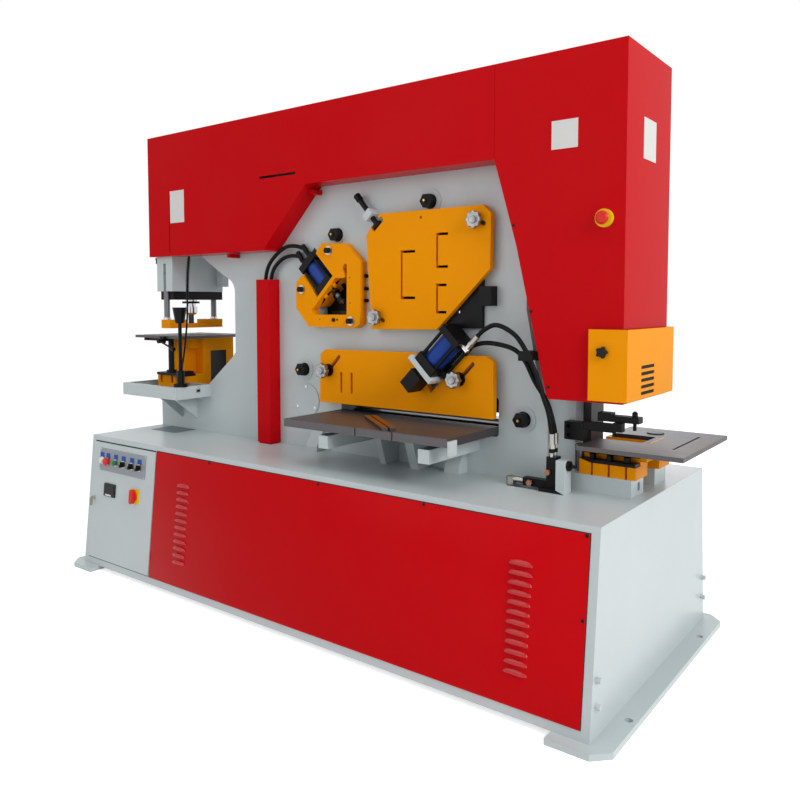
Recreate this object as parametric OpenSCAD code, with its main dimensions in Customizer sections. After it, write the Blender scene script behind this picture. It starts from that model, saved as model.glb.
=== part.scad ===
// Hydraulic ironworker: punch, angle shear, section shear, flat bar shear and notcher on one frame.
// +X runs along the machine to the notcher, the operator stands on the -Y side and +Z is up.
// The origin is on the floor, at the centre of the four foundation holes.

/* [Base cabinet] */
// Length of the base cabinet
base_len = 2600; // [2580:5:2660]
// Height of the cabinet's top face
base_h = 633; // [620:1:640]
// Depth of the cabinet at its top face
base_top_w = 1000; // [980:5:1040]
// How far the front and the back lean out towards the floor
base_lean = 63; // [50:1:75]
// Thickness of the cabinet's steel sheet
cabinet_t = 6; // [4:1:8]
// Thickness of the cabinet's top plate
top_plate_t = 20; // [15:1:25]
// Thickness of the foot plates
foot_t = 20; // [16:1:30]
// How far a foot plate reaches past the cabinet's end
foot_reach = 68; // [62:1:90]
// Length of a foot plate along the machine
foot_len = 188; // [150:1:220]
// Length of a foot plate across the machine
foot_span = 1212; // [1180:2:1240]
// Diameter of the foundation holes
anchor_d = 26; // [22:1:33]
// Distance between the foundation holes across the machine
anchor_pitch_y = 730; // [600:10:900]
// Diameter of the bar of a lifting loop
loop_bar_d = 18; // [12:1:24]
// Radius of a lifting loop to the middle of its bar
loop_r = 40; // [30:1:50]

/* [Control door] */
// Width of the control door
door_w = 482; // [460:1:490]
// Height of the control door up the leaning front
door_h = 553; // [520:1:560]
// Height of the door's lower edge above the floor
door_z = 54; // [45:1:60]
// Depth of the door's folded edge
door_edge = 20; // [15:1:30]
// Width of the button plate on the door
button_plate_w = 365; // [350:1:380]
// Height of the button plate
button_plate_h = 106; // [96:1:116]
// Diameter of the push buttons and selectors
button_d = 29; // [24:1:32]
// Diameter of the mushroom heads
mushroom_d = 40; // [34:1:44]

/* [Front panel] */
// Thickness of the front panel's sheet
panel_t = 3; // [2:0.5:4]
// Number of louvres in each column
louvre_count = 12; // [6:1:13]
// Distance between louvres
louvre_pitch = 29.8; // [28:0.2:32]
// Length of a louvre
louvre_len = 83; // [60:1:100]
// How far a louvre stands out
louvre_out = 6; // [4:0.5:8]

/* [Frame] */
// Thickness of each side plate
side_plate_t = 65; // [55:1:70]
// Gap between the side plates, for the beam
beam_slot = 110; // [100:1:120]
// Middle of the frame across the machine
frame_y = 40; // [35:1:45]
// Thickness of the doubler plate on the front
doubler_t = 28; // [20:1:32]
// X of the right end of the side plates
column_x = 1030; // [1015:1:1036]
// Distance from the side plates' top edge up to the covers' top
cover_room = 58; // [45:1:80]
// X of the back of the punch throat
throat_x = -705; // [-720:1:-695]
// Height of the seat for the punch die holder
jaw_seat_z = 850; // [840:1:856]
// Radius of the throat's corners
throat_r = 70; // [40:5:90]

/* [Beam] */
// Clearance between the beam and each side plate
beam_gap = 0.5; // [0.3:0.1:1]
// X of the beam's pivot
pivot_x = -560; // [-565:1:-555]
// Height of the beam's pivot
pivot_z = 1130; // [1120:1:1140]
// Diameter of the pivot pin
pivot_d = 90; // [70:1:110]
// Radial clearance of shafts and pins in their bores
running_gap = 0.05; // [0.02:0.01:0.1]
// X of the main cylinder
main_x = 800; // [790:1:820]
// Diameter of the main cylinder
main_d = 190; // [160:1:200]
// Diameter of the main cylinder's rod
main_rod_d = 100; // [80:1:105]

/* [Covers] */
// Distance from the cover's front face to its back face
cover_w = 416; // [400:2:430]
// Thickness of the covers' sheet
cover_t = 3; // [2:0.5:4]
// Height of the covers' top
cover_top = 2098; // [2080:1:2120]
// Height of the left cover's lower edge at the punch
cover_punch_z = 1506; // [1495:1:1515]
// Height of the left cover's lower edge over the shears
cover_shear_z = 1773; // [1765:1:1780]
// Height of the right cover's lower edge
cover_notch_z = 950; // [940:1:958]
// X of the left cover's left end
cover_x0 = -1234; // [-1250:1:-1225]
// X of the joint between the covers
cover_seam_x = 770; // [765:1:775]
// X of the right cover's end
cover_x1 = 1245; // [1241:1:1255]

/* [Punch] */
// X of the punch
punch_x = -1145; // [-1150:1:-1140]
// Y of the punch
punch_y = -25; // [-28:1:-22]
// Width of the punch cylinder's block along the machine
punch_block_w = 124; // [116:1:130]
// Depth of the punch cylinder's block
punch_block_d = 318; // [310:1:330]
// Height of the punch cylinder block's lower face
punch_block_z = 1333; // [1325:1:1340]
// Diameter of the punch ram's rod
ram_d = 60; // [50:1:70]
// Diameter of the coupling nut
coupling_d = 64; // [58:1:70]
// Diameter of the punch
punch_d = 28; // [20:1:30]
// Distance between the stripper's two rods
stripper_rod_pitch = 296; // [290:1:300]
// Diameter of the stripper's rods
stripper_rod_d = 29; // [24:1:32]
// Thickness of the stripper's bar
stripper_t = 23; // [18:1:24]
// Height of the stripper's lower face
stripper_z = 1147; // [1145:1:1150]
// Height of the punch table's top
punch_table_z = 1111; // [1108:1:1114]
// Thickness of the punch table
punch_table_t = 13; // [10:1:14]

/* [Chip tray and lamp] */
// Length of the chip tray
tray_len = 431; // [420:1:436]
// How far the chip tray reaches in front of the frame
tray_reach = 209; // [200:1:220]
// Height of the chip tray's sides
tray_h = 60; // [50:1:70]
// Thickness of the chip tray's sheet
tray_t = 3; // [2:0.5:4]
// Diameter of the lamp's magnetic foot
lamp_foot_d = 68; // [60:1:75]
// Diameter of the lamp's flexible neck
lamp_neck_d = 17; // [14:1:20]
// Diameter of the lamp's mouth
lamp_mouth_d = 68; // [60:1:72]

/* [Shear stations] */
// Thickness of the angle shear's housing plate
angle_plate_t = 30; // [25:1:32]
// Thickness of the section shear's hold-down plate
section_plate_t = 25; // [20:1:28]
// Thickness of the flat bar shear's hold-down plate
flat_plate_t = 25; // [20:1:28]
// Width of the section slots
section_slot = 10; // [8:1:12]
// Diameter of the star knobs
knob_d = 66; // [60:1:70]
// Diameter of the star knobs' studs
stud_d = 12; // [10:1:14]
// Height of the shear table's top, level with the lower blade
shear_table_z = 820; // [816:1:822]
// Thickness of the shear table
shear_table_t = 30; // [24:1:34]
// Length of the shear table
shear_table_len = 770; // [750:1:780]
// How far the shear table reaches in front of the frame
shear_table_reach = 342; // [320:1:360]
// Diameter of the flat bar hold-down cylinder's barrel
flat_barrel_d = 84; // [76:1:90]
// Diameter of the angle hold-down cylinder's barrel
angle_barrel_d = 84; // [70:1:90]

/* [Notcher] */
// Middle of the notcher across the machine
notch_y = 40; // [36:1:44]
// Height of the notching table's top
notch_table_z = 803; // [800:1:806]
// Thickness of the notching table
notch_table_t = 15; // [12:1:16]
// Length of the notching table along the machine
notch_table_len = 348; // [340:1:352]
// Width of the notching table across the machine
notch_table_w = 505; // [490:1:515]
// Width of the notch across the machine
notch_w = 164; // [150:1:170]
// Thickness of the notching guard's sheet
guard_t = 2.5; // [2:0.5:4]
// Gap between the guard and the cover
guard_gap = 14.5; // [12:0.5:16]
// Height of the guard
guard_h = 231; // [220:1:240]
// Number of sight slots in the guard's end
guard_slots = 5; // [3:1:6]

/* [Hidden] */
$fn = 48;
small_fn = 24;

// Colours
white = [0.76, 0.80, 0.81];
red = [0.68, 0.06, 0.08];
yellow = [0.93, 0.60, 0.04];
black = [0.10, 0.10, 0.11];
steel = [0.44, 0.44, 0.45];
bright = [0.78, 0.78, 0.80];
blue = [0.10, 0.22, 0.56];

// Base cabinet
base_foot_half = base_top_w / 2 + base_lean * (1 - foot_t / base_h);
lean_deg = atan(base_lean / base_h);
end_x = base_len / 2;
bulkhead_x = -785;
foot_chamfer = 50;
anchor_x = end_x + foot_reach - 27;
loop_z = 155;
loop_straight = 16;
loop_y = base_top_w / 2 + 20;
deck_z = 633;
top_cut_x0 = 827;
top_cut_x1 = 960;
top_cut_y0 = -211;
top_cut_y1 = -156;

// Door
door_x0 = -1272;
door_x1 = door_x0 + door_w;
door_sheet = 3;
door_inset = 14;
seat_gap = 0.02;
door_lift = 0.5;
door_opening_margin = 9;
button_plate_t = 2.5;
button_plate_x = -1037.5;
button_plate_zc = 526;
button_row_z = 520;
tag_z = 551;
lamp_x = -1199;
stop_x = -1150;
start_x = -1087;
selector_x = [-1025, -958, -900];
ring_t = 3;
ring_d = button_d + 6;
stem_d = button_d - 9;
counter_x = -1121.5;
counter_z = 387.5;
counter_w = 89;
counter_h = 61;
isolator_x = -923;
isolator_z = 388;
isolator_plate = 65;
isolator_stem_d = 16;
lock_x = -1250;
lock_z = 335;
lock_d = 22;
lock_bore_d = 10;

// Front panel
panel_x0 = -785;
panel_x1 = 1270;
panel_z0 = 50;
panel_z1 = 609;
panel_overlap = 15;
louvre_z = 480;
louvre_h = 12;
louvre_x = [-580.5, 1054.5];
screw_d = 12;
screw_head = 2.5;

// Frame
front_plate_y = frame_y - beam_slot / 2 - side_plate_t;
rear_plate_y = frame_y + beam_slot / 2;
slot_y0 = frame_y - beam_slot / 2;
doubler_y = front_plate_y - doubler_t;
punch_side_x = -1083;
frame_x0 = -1290;
flat_window = [-30, 740, 780, 925];
angle_window = [-166, 60, 1206, 1440];
section_window = [296, 576, 1216, 1556];
window_r = 12;
rear_window_margin = 12;

// Beam
beam_w = beam_slot - 2 * beam_gap;
beam_y0 = slot_y0 + beam_gap;
blade_t = 29.5;
blade_gap = 0.3;
blade_seat = 14;
flat_blade_x0 = -4;
flat_blade_x1 = 718;
flat_blade_top = 930;
flat_blade_z0 = 836;
flat_blade_z1 = 856;
fixed_blade_t = 40;
beam_low = 906;
beam_seat_z = 1648;
rod_tip_gap = 1;
frame_top = cover_top - cover_room;
main_cyl_z0 = 1760;
main_cyl_z1 = frame_top - 4;

// Angle slot, as an angle section laid in its corner
angle_slot = 14;
angle_corner = [37, 1225];
angle_leg = 180;
// Section slots: [left edge, lower edge, width, height, flange thickness]
sections = [[318, 1289, 71, 190], [486, 1406, 55, 133], [486, 1234, 49, 113]];

// Covers
cover_y = cover_w / 2;
cover_front = -cover_y;
return_gap = 2;
seam_lap = 1;

// Punch
gland_h = 42;
gland_w = 100;
rod_y0 = punch_y - stripper_rod_pitch / 2;
rod_y1 = punch_y + stripper_rod_pitch / 2;

// Y of the leaning front at height z
function front_y(z) = -(base_top_w / 2 + base_lean * (1 - z / base_h));
function unit(v) = v / norm(v);
// Signed angle from a to b, within half a turn
function turn(a, b) = (b - a + 540) - 360 * floor((b - a + 540) / 360) - 180;
// Points of one corner of an outline, rounded where its third value is not zero
function corner(a, b, c, r) = r <= 0 ? [b] :
    let(u = unit(a - b), v = unit(c - b), half = acos(u * v) / 2, o = b + unit(u + v) * r / sin(half))
    let(p = b + u * r / tan(half), q = b + v * r / tan(half))
    let(a0 = atan2(p[1] - o[1], p[0] - o[0]), sweep = turn(a0, atan2(q[1] - o[1], q[0] - o[0])))
    let(n = max(2, ceil(abs(sweep) / 15)))
    [for (i = [0:n]) o + r * [cos(a0 + sweep * i / n), sin(a0 + sweep * i / n)]];
function flat2(p) = [p[0], p[1]];
// Outline from points [x, z, corner radius]
function rounded(pts) = let(n = len(pts))
    [for (i = [0:n - 1]) each corner(flat2(pts[(i + n - 1) % n]), flat2(pts[i]), flat2(pts[(i + 1) % n]), pts[i][2])];

// Upright plate in the X-Z plane, from y0 towards +Y
module xz_plate(y0, t) {
    translate([0, y0 + t, 0]) rotate([90, 0, 0]) linear_extrude(t) children();
}
// Bar along +X with its section drawn in Y-Z
module along_x(x0, len) {
    translate([x0, 0, 0]) rotate([90, 0, 90]) linear_extrude(len) children();
}
module rod_y(x, z, y0, len, d) {
    translate([x, y0, z]) rotate([-90, 0, 0]) cylinder(d = d, h = len);
}
module rod_z(x, y, z0, len, d) {
    translate([x, y, z0]) cylinder(d = d, h = len);
}
module box(x0, x1, y0, y1, z0, z1) {
    translate([x0, y0, z0]) cube([x1 - x0, y1 - y0, z1 - z0]);
}
// Puts the upper machine, drawn with the cabinet's top at deck_z, on the cabinet
module on_deck() {
    translate([0, 0, base_h - deck_z]) children();
}
// Local x along the machine, y up the leaning front and z out of it
module on_front(x, z) {
    translate([x, front_y(z), z]) rotate([90 - lean_deg, 0, 0]) children();
}
module round_rect(w, h, r) {
    square([w - 2 * r, h], center = true);
    square([w, h - 2 * r], center = true);
    for (sx = [-1, 1], sy = [-1, 1]) translate([sx * (w / 2 - r), sy * (h / 2 - r)]) circle(r);
}
module window(w) {
    translate([(w[0] + w[1]) / 2, (w[2] + w[3]) / 2]) round_rect(w[1] - w[0], w[3] - w[2], window_r);
}
// Slot with round ends from a to b
module slot2(a, b, d) {
    v = b - a;
    translate(a) rotate(atan2(v[1], v[0])) {
        circle(d = d, $fn = small_fn);
        translate([norm(v), 0]) circle(d = d, $fn = small_fn);
        translate([0, -d / 2]) square([norm(v), d]);
    }
}
// C-shaped slot for channel sections, open to +X
module c_slot(s, t = section_slot) {
    translate([s[0], s[1]]) difference() {
        square([s[2], s[3]]);
        translate([t, t]) square([s[2], s[3] - 2 * t]);
    }
}
module l_slot(corner_at, leg, t) {
    translate(corner_at) {
        translate([-leg, 0]) square([leg, t]);
        translate([-t, 0]) square([t, leg]);
    }
}
// Hexagon-headed screw with its washer, head towards -Y
module hex_screw(x, z, y, af, head, washer_d, washer_t) {
    rod_y(x, z, y - washer_t, washer_t, washer_d);
    translate([x, y - washer_t, z]) rotate([90, 0, 0]) cylinder(d = af / cos(30), h = head, $fn = 6);
}

// ---- Base cabinet ----
module base_profile(inset) {
    polygon([
        [-(base_foot_half - inset), foot_t + inset], [base_foot_half - inset, foot_t + inset],
        [base_top_w / 2 - inset, base_h - (inset > 0 ? top_plate_t : 0)],
        [-(base_top_w / 2 - inset), base_h - (inset > 0 ? top_plate_t : 0)]
    ]);
}

module foot_plate(side) {
    x_out = end_x + foot_reach;
    x_in = x_out - foot_len;
    half = foot_span / 2;
    c = foot_chamfer;
    scale([side, 1, 1]) linear_extrude(foot_t) difference() {
        polygon([[x_in, -half], [x_out - c, -half], [x_out, -half + c], [x_out, half - c], [x_out - c, half], [x_in, half]]);
        for (s = [-1, 1]) translate([anchor_x, s * anchor_pitch_y / 2]) circle(d = anchor_d);
    }
}

module lifting_loop(side, y) {
    translate([side * (end_x + loop_straight), y, loop_z]) rotate([90, side > 0 ? -90 : 90, 0])
        rotate_extrude(angle = 180) translate([loop_r, 0]) circle(d = loop_bar_d, $fn = small_fn);
    for (s = [-1, 1]) translate([side * (end_x - 1), y, loop_z + s * loop_r]) rotate([0, side * 90, 0])
        cylinder(d = loop_bar_d, h = loop_straight + 1, $fn = small_fn);
}

module base_cabinet() {
    color(white) {
        difference() {
            along_x(-end_x, base_len) base_profile(0);
            along_x(-end_x + cabinet_t, bulkhead_x - cabinet_t / 2 + end_x - cabinet_t) base_profile(cabinet_t);
            along_x(bulkhead_x + cabinet_t / 2, end_x - bulkhead_x - 1.5 * cabinet_t) base_profile(cabinet_t);
            on_front(door_x0, door_z) translate([door_opening_margin, door_opening_margin, -4 * cabinet_t])
                cube([door_w - 2 * door_opening_margin, door_h - 2 * door_opening_margin, 5 * cabinet_t]);
            on_front(panel_x0, panel_z0) translate([panel_overlap, panel_overlap, -1.5 * cabinet_t])
                cube([panel_x1 - panel_x0 - 3 * panel_overlap, panel_z1 - panel_z0 - 2 * panel_overlap, 2 * cabinet_t]);
            box(top_cut_x0, top_cut_x1, top_cut_y0, top_cut_y1, base_h - 2 * top_plate_t, base_h + 1);
        }
        foot_plate(1);
        foot_plate(-1);
        for (side = [-1, 1], s = [-1, 1]) lifting_loop(side, s * loop_y);
    }
}

module louvre(x, z) {
    on_front(x - louvre_len / 2, z) translate([0, 0, panel_t]) rotate([90, 0, 90]) linear_extrude(louvre_len)
        polygon([[-1, 0], [0, louvre_out], [3, louvre_out], [louvre_h, 0]]);
}

module front_panel() {
    color(red) {
        difference() {
            on_front(panel_x0, panel_z0) cube([panel_x1 - panel_x0, (panel_z1 - panel_z0) / cos(lean_deg), panel_t]);
            for (x = louvre_x, i = [0:louvre_count - 1])
                on_front(x, louvre_z - i * louvre_pitch) translate([0, -4, 0]) cube([louvre_len - 6, 4, 3 * panel_t], center = true);
        }
        for (x = louvre_x, i = [0:louvre_count - 1]) louvre(x, louvre_z - i * louvre_pitch);
    }
    color(bright) for (p = [[204, 603], [684, 603], [1261, 603], [1261, 360], [-420, 603]])
        on_front(p[0], p[1]) translate([0, 0, panel_t]) cylinder(d = screw_d, h = screw_head, $fn = small_fn);
}

// ---- Control door and its fittings ----
module door_bores(d) {
    for (x = concat([lamp_x, stop_x, start_x], selector_x)) on_front(x, button_row_z)
        rod_z(0, 0, -door_edge, 3 * door_edge, d);
}

module control_door() {
    color(white) difference() {
        on_front(door_x0, door_z) {
            translate([0, 0, door_lift]) cube([door_w, door_h, door_sheet]);
            translate([door_inset, door_inset, -door_edge]) difference() {
                cube([door_w - 2 * door_inset, door_h - 2 * door_inset, door_edge + door_lift + door_sheet / 2]);
                translate([door_sheet, door_sheet, -1])
                    cube([door_w - 2 * door_inset - 2 * door_sheet, door_h - 2 * door_inset - 2 * door_sheet, door_edge + 1 + door_lift + door_sheet / 4]);
            }
        }
        door_bores(stem_d + 2 * running_gap);
        on_front(isolator_x, isolator_z) rod_z(0, 0, -door_edge, 3 * door_edge, isolator_stem_d + 2 * running_gap);
        on_front(lock_x, lock_z) rod_z(0, 0, -door_edge, 3 * door_edge, lock_bore_d + 2 * running_gap);
    }
    out = door_lift + door_sheet;
    // Hour counter
    color(black) on_front(counter_x, counter_z) translate([0, 0, out]) linear_extrude(6) round_rect(counter_w, counter_h, 3);
    // Yellow plate behind the isolator's handle
    color(yellow) on_front(isolator_x, isolator_z) translate([0, 0, out]) linear_extrude(5) difference() {
        round_rect(isolator_plate, isolator_plate, 4);
        circle(d = isolator_stem_d + 2 * running_gap);
    }
    // Hinge pins, along the door's edge
    color(bright) for (z = [120, 520]) on_front(door_x1, z) translate([0, 0, out]) rotate([-90, 0, 0]) cylinder(d = 5, h = 40);
    // Lock barrel
    color(bright) on_front(lock_x, lock_z) translate([0, 0, out]) linear_extrude(4) difference() {
        circle(d = lock_d);
        circle(d = lock_bore_d + 2 * running_gap);
    }
}

module door_button_plate() {
    out = door_lift + door_sheet + seat_gap;
    color([0.60, 0.63, 0.66]) difference() {
        on_front(button_plate_x, button_plate_zc) translate([0, 0, out]) linear_extrude(button_plate_t)
            round_rect(button_plate_w, button_plate_h, 3);
        door_bores(stem_d + 2 * running_gap);
    }
    color(bright) difference() {
        for (x = concat([lamp_x, stop_x, start_x], selector_x)) on_front(x, button_row_z)
            rod_z(0, 0, out + button_plate_t, ring_t, ring_d);
        door_bores(stem_d + 2 * running_gap);
    }
    color(blue) for (x = concat([lamp_x, stop_x, start_x], selector_x)) on_front(x, tag_z)
        translate([-21, -5, out + button_plate_t]) cube([42, 12, 1]);
    // Signal lamp
    color([0.95, 0.95, 0.92]) on_front(lamp_x, button_row_z) {
        rod_z(0, 0, out + button_plate_t + ring_t, 9, button_d - 3);
        rod_z(0, 0, out, 10, stem_d + 2 * running_gap);
    }
}

button_base = door_lift + door_sheet + button_plate_t + ring_t;
module start_button() {
    color([0.10, 0.50, 0.22]) on_front(start_x, button_row_z) {
        rod_z(0, 0, -10, button_base + 15, stem_d);
        rod_z(0, 0, button_base + 4, 6, button_d - 4);
    }
}

module stop_button() {
    color([0.80, 0.08, 0.08]) on_front(stop_x, button_row_z) {
        rod_z(0, 0, -10, button_base + 16, stem_d);
        translate([0, 0, button_base + 6]) cylinder(d1 = mushroom_d - 6, d2 = mushroom_d, h = 6);
        translate([0, 0, button_base + 12]) cylinder(d1 = mushroom_d, d2 = mushroom_d - 10, h = 6);
    }
}

module selector(x) {
    color(black) on_front(x, button_row_z) {
        rod_z(0, 0, -10, button_base + 12, stem_d);
        rod_z(0, 0, button_base + 0.3, 7, button_d - 3);
        translate([0, 0, button_base + 13]) cube([9, button_d - 4, 14], center = true);
    }
}
module selector_1() { selector(selector_x[0]); }
module selector_2() { selector(selector_x[1]); }
module selector_3() { selector(selector_x[2]); }

module isolator_handle() {
    base = door_lift + door_sheet + 5.3;
    color([0.80, 0.08, 0.08]) on_front(isolator_x, isolator_z) {
        rod_z(0, 0, -10, base + 15, isolator_stem_d);
        rod_z(0, 0, base, 6, 46);
        translate([0, 0, base + 5]) linear_extrude(15) slot2([0, -21], [0, 21], 24);
    }
}

module door_key() {
    base = door_lift + door_sheet + 4;
    color(steel) on_front(lock_x, lock_z) {
        rod_z(0, 0, -8, base + 12, lock_bore_d);
        translate([-1.5, -8, base + 2]) cube([3, 16, 12]);
        translate([-2, -34, base + 8]) rotate([0, 90, 0]) linear_extrude(4) slot2([-4, 4], [-4, 30], 16);
    }
}

// ---- Frame ----
function throat_outline() = [
    [frame_x0, deck_z, 0], [frame_x0, jaw_seat_z, 0], [-935, jaw_seat_z, 30], [-907, 872, 20],
    [-726, 1015, 30], [throat_x, 1039, 12], [throat_x, 1368, throat_r], [-793, 1412, 0], [-910, 1481, 0],
    [punch_side_x, 1583, 0]
];
module side_outline() {
    polygon(rounded(concat(
        [[column_x, deck_z, 0]], throat_outline(), [[punch_side_x, frame_top, 0], [column_x, frame_top, 0]]
    )));
}
module doubler_outline() {
    polygon(rounded(concat(
        [[935, deck_z, 0], [frame_x0, deck_z, 0], [frame_x0, jaw_seat_z, 0], [-935, jaw_seat_z, 30], [-907, 872, 20],
         [-726, 1015, 30], [throat_x, 1039, 12], [throat_x, 1368, throat_r], [-793, 1412, 0], [-910, 1481, 0],
         [-1060, 1569, 0]],
        [[-1000, 1860, 0], [850, 1860, 0], [850, 1250, 60], [868, 1161, 0], [887, 1060, 0], [910, 989, 0],
         [926, 932, 0], [938, 843, 0], [938, 735, 0]]
    )));
}

module pivot_bore(d) { rod_y(pivot_x, pivot_z, -300, 600, d); }

module side_windows(flat_z0 = flat_window[2]) {
    window([flat_window[0], flat_window[1], flat_z0, flat_window[3]]);
    window(angle_window);
    window(section_window);
}

// Seat in the front plate's inner face for the fixed blades of one station
module blade_seat_2d(w) {
    translate([w[0] - blade_seat, w[2] - blade_seat]) square([w[1] - w[0] + 2 * blade_seat, w[3] - w[2] + 2 * blade_seat]);
}

module front_side_plate() on_deck() {
    color(white) difference() {
        xz_plate(front_plate_y, side_plate_t) difference() {
            side_outline();
            side_windows();
        }
        xz_plate(slot_y0 - blade_t, blade_t + 1) {
            blade_seat_2d(angle_window);
            blade_seat_2d(section_window);
        }
        angle_pocket();
        pivot_bore(pivot_d);
        rod_z(main_x, frame_y, main_cyl_z0 - 1, frame_top - main_cyl_z0 + 2, main_d + 1);
    }
}

module rear_side_plate() on_deck() {
    color(white) difference() {
        xz_plate(rear_plate_y, side_plate_t) difference() {
            side_outline();
            side_windows(shear_table_z - 8);
        }
        pivot_bore(pivot_d);
        rod_z(main_x, frame_y, main_cyl_z0 - 1, frame_top - main_cyl_z0 + 2, main_d + 1);
    }
}

module doubler_plate() on_deck() {
    color(white) difference() {
        xz_plate(doubler_y, doubler_t) difference() {
            doubler_outline();
            side_windows();
        }
        stud_bores();
        angle_pocket();
    }
}

// Pocket the angle shear's cylinder lies in
module angle_pocket() {
    on_angle_cylinder() translate([-angle_cap / 2 - 5, -200, -1])
        cube([angle_cap + 10, 200 + slot_y0 - blade_t - 2.5 - angle_cyl_y, angle_len + 26]);
}

// Bores the star knobs' studs turn in
module stud_bores() {
    for (p = concat(section_studs, flat_studs)) rod_y(p[0], p[1], doubler_y - 60, 82, stud_d + 2 * running_gap);
}

module frame_spacers() on_deck() {
    w = beam_slot;
    color(white) {
        xz_plate(slot_y0, w) polygon([[frame_x0, deck_z], [column_x, deck_z], [column_x, 770], [-900, 770],
            [-935, jaw_seat_z], [frame_x0, jaw_seat_z]]);
        box(punch_side_x, -760, slot_y0, slot_y0 + w, 1620, frame_top);
        difference() {
            box(punch_side_x, column_x, slot_y0, slot_y0 + w, frame_top - 140, frame_top);
            rod_z(main_x, frame_y, frame_top - 141, 142, main_d + 1);
        }
        box(985, column_x, slot_y0, slot_y0 + w, 770, frame_top);
        // Gusset blocks at the foot of the frame
        along_x(-185, 65) polygon([[doubler_y, deck_z], [doubler_y - 60, deck_z], [doubler_y - 60, deck_z + 20], [doubler_y - 20, 719], [doubler_y, 719]]);
        along_x(540, 65) polygon([[doubler_y, deck_z], [doubler_y - 60, deck_z], [doubler_y - 60, deck_z + 20], [doubler_y - 20, 731], [doubler_y, 731]]);
    }
}

// Place and spacer ring of each tie bolt
tie_bolts = [[-43, 1562, 70], [434, 1665, 96], [-243, 981, 96], [844, 855, 96]];
ring_h = 4;
inspection_at = [-233, 844];
inspection_d = 148;
screw_axis = [0.656, -0.755];
screw_angle = 90 + atan2(0.755, 0.656);
screw_block_at = [158, 1629];
screw_block = [44, 52, 30];
screw_block_out = 26;
screw_shank_d = 22;
screw_y = doubler_y - 17 - section_plate_t / 2;
module on_screw() {
    translate([screw_block_at[0], screw_y, screw_block_at[1]]) rotate([0, screw_angle, 0]) children();
}

module frame_bolts() on_deck() {
    // Tie bolts with grease nipples
    for (p = tie_bolts) {
        color(black) hex_screw(p[0], p[1], doubler_y - ring_h, 50, 30, 58, 2);
        color([0.80, 0.62, 0.25]) rod_y(p[0], p[1], doubler_y - 50, 12, 9);
        color(white) rod_y(p[0], p[1], doubler_y - ring_h, ring_h, p[2]);
    }
    // Round cover plate over a hand hole
    color(white) rod_y(inspection_at[0], inspection_at[1], doubler_y - 4, 4, inspection_d);
    color(steel) for (a = [90, 210, 330])
        rod_y(inspection_at[0] + 60 * cos(a), inspection_at[1] + 60 * sin(a), doubler_y - 7, 3, 12);
    // Pin the beam turns on
    color(steel) rod_y(pivot_x, pivot_z, front_plate_y, rear_plate_y + side_plate_t - front_plate_y, pivot_d);
    // Nut block of the section hold-down's screw
    color(white) difference() {
        on_screw() translate([-screw_block[0] / 2, -screw_block_out, -screw_block[2] / 2])
            cube([screw_block[0], doubler_y - screw_y + screw_block_out, screw_block[2]]);
        on_screw() rod_z(0, 0, -50, 100, screw_shank_d + 2 * running_gap);
    }
}

// ---- Covers ----
module left_cover_2d() {
    polygon([[cover_x0, cover_top], [cover_x0, cover_punch_z], [-390, cover_punch_z], [-390, 1516], [-137, cover_shear_z],
        [cover_seam_x, cover_shear_z], [cover_seam_x, cover_top]]);
}
module left_cover_inner_2d() {
    t = cover_t;
    polygon([[cover_x0 + t, cover_top - t], [cover_x0 + t, cover_punch_z + t], [-390 - t, cover_punch_z + t],
        [-390 - 0.4 * t, 1516 + t], [-137 - 0.4 * t, cover_shear_z + t], [cover_seam_x + 1, cover_shear_z + t],
        [cover_seam_x + 1, cover_top - t]]);
}
module right_cover_2d() {
    polygon([[cover_seam_x + seam_lap, cover_top], [cover_seam_x + seam_lap, cover_shear_z], [860, 1472], [976, 974], [984, cover_notch_z],
        [cover_x1, cover_notch_z], [cover_x1, cover_top]]);
}
module right_cover_inner_2d() {
    t = cover_t;
    polygon([[cover_seam_x - 1, cover_top - t], [cover_seam_x - 1, cover_shear_z], [cover_seam_x + t, cover_shear_z], [860 + t, 1472 + 0.4 * t],
        [976 + t, 974 + 0.4 * t], [984 + t, cover_notch_z - 1], [cover_x1 - t, cover_notch_z - 1], [cover_x1 - t, cover_top - t]]);
}

module left_cover() on_deck() {
    color(red) difference() {
        xz_plate(cover_front, cover_w) left_cover_2d();
        xz_plate(cover_front + cover_t, cover_w - 2 * cover_t) left_cover_inner_2d();
        // Open underneath for the frame and the punch cylinder
        box(-1216, punch_side_x + 6, -190, 166, cover_punch_z - 10, cover_punch_z + 10);
        box(-1100, cover_seam_x + 10, doubler_y - return_gap, rear_plate_y + side_plate_t + return_gap, 1400, 1800);
        // Sight slot and the slit for the lamp's cable
        box(-418, -197, cover_front - 1, cover_front + 10, 1820, 1830);
        box(-1068, -1062, cover_front - 1, cover_front + 10, 1527, 1804);
    }
    // Blank label plate
    color([0.88, 0.88, 0.88]) box(-1057, -950, cover_front - 1.5, cover_front, 1666, 1821);
    // Fixing tabs under the cover's edge
    color(red) for (p = [[-145, 1606, 45], [-676, 1490, 0]])
        box(p[0] - 12, p[0] + 12, cover_front + 40, doubler_y - return_gap, p[1] - 4 + p[2] * 3, p[1] + 14 + p[2] * 3);
}

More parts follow.
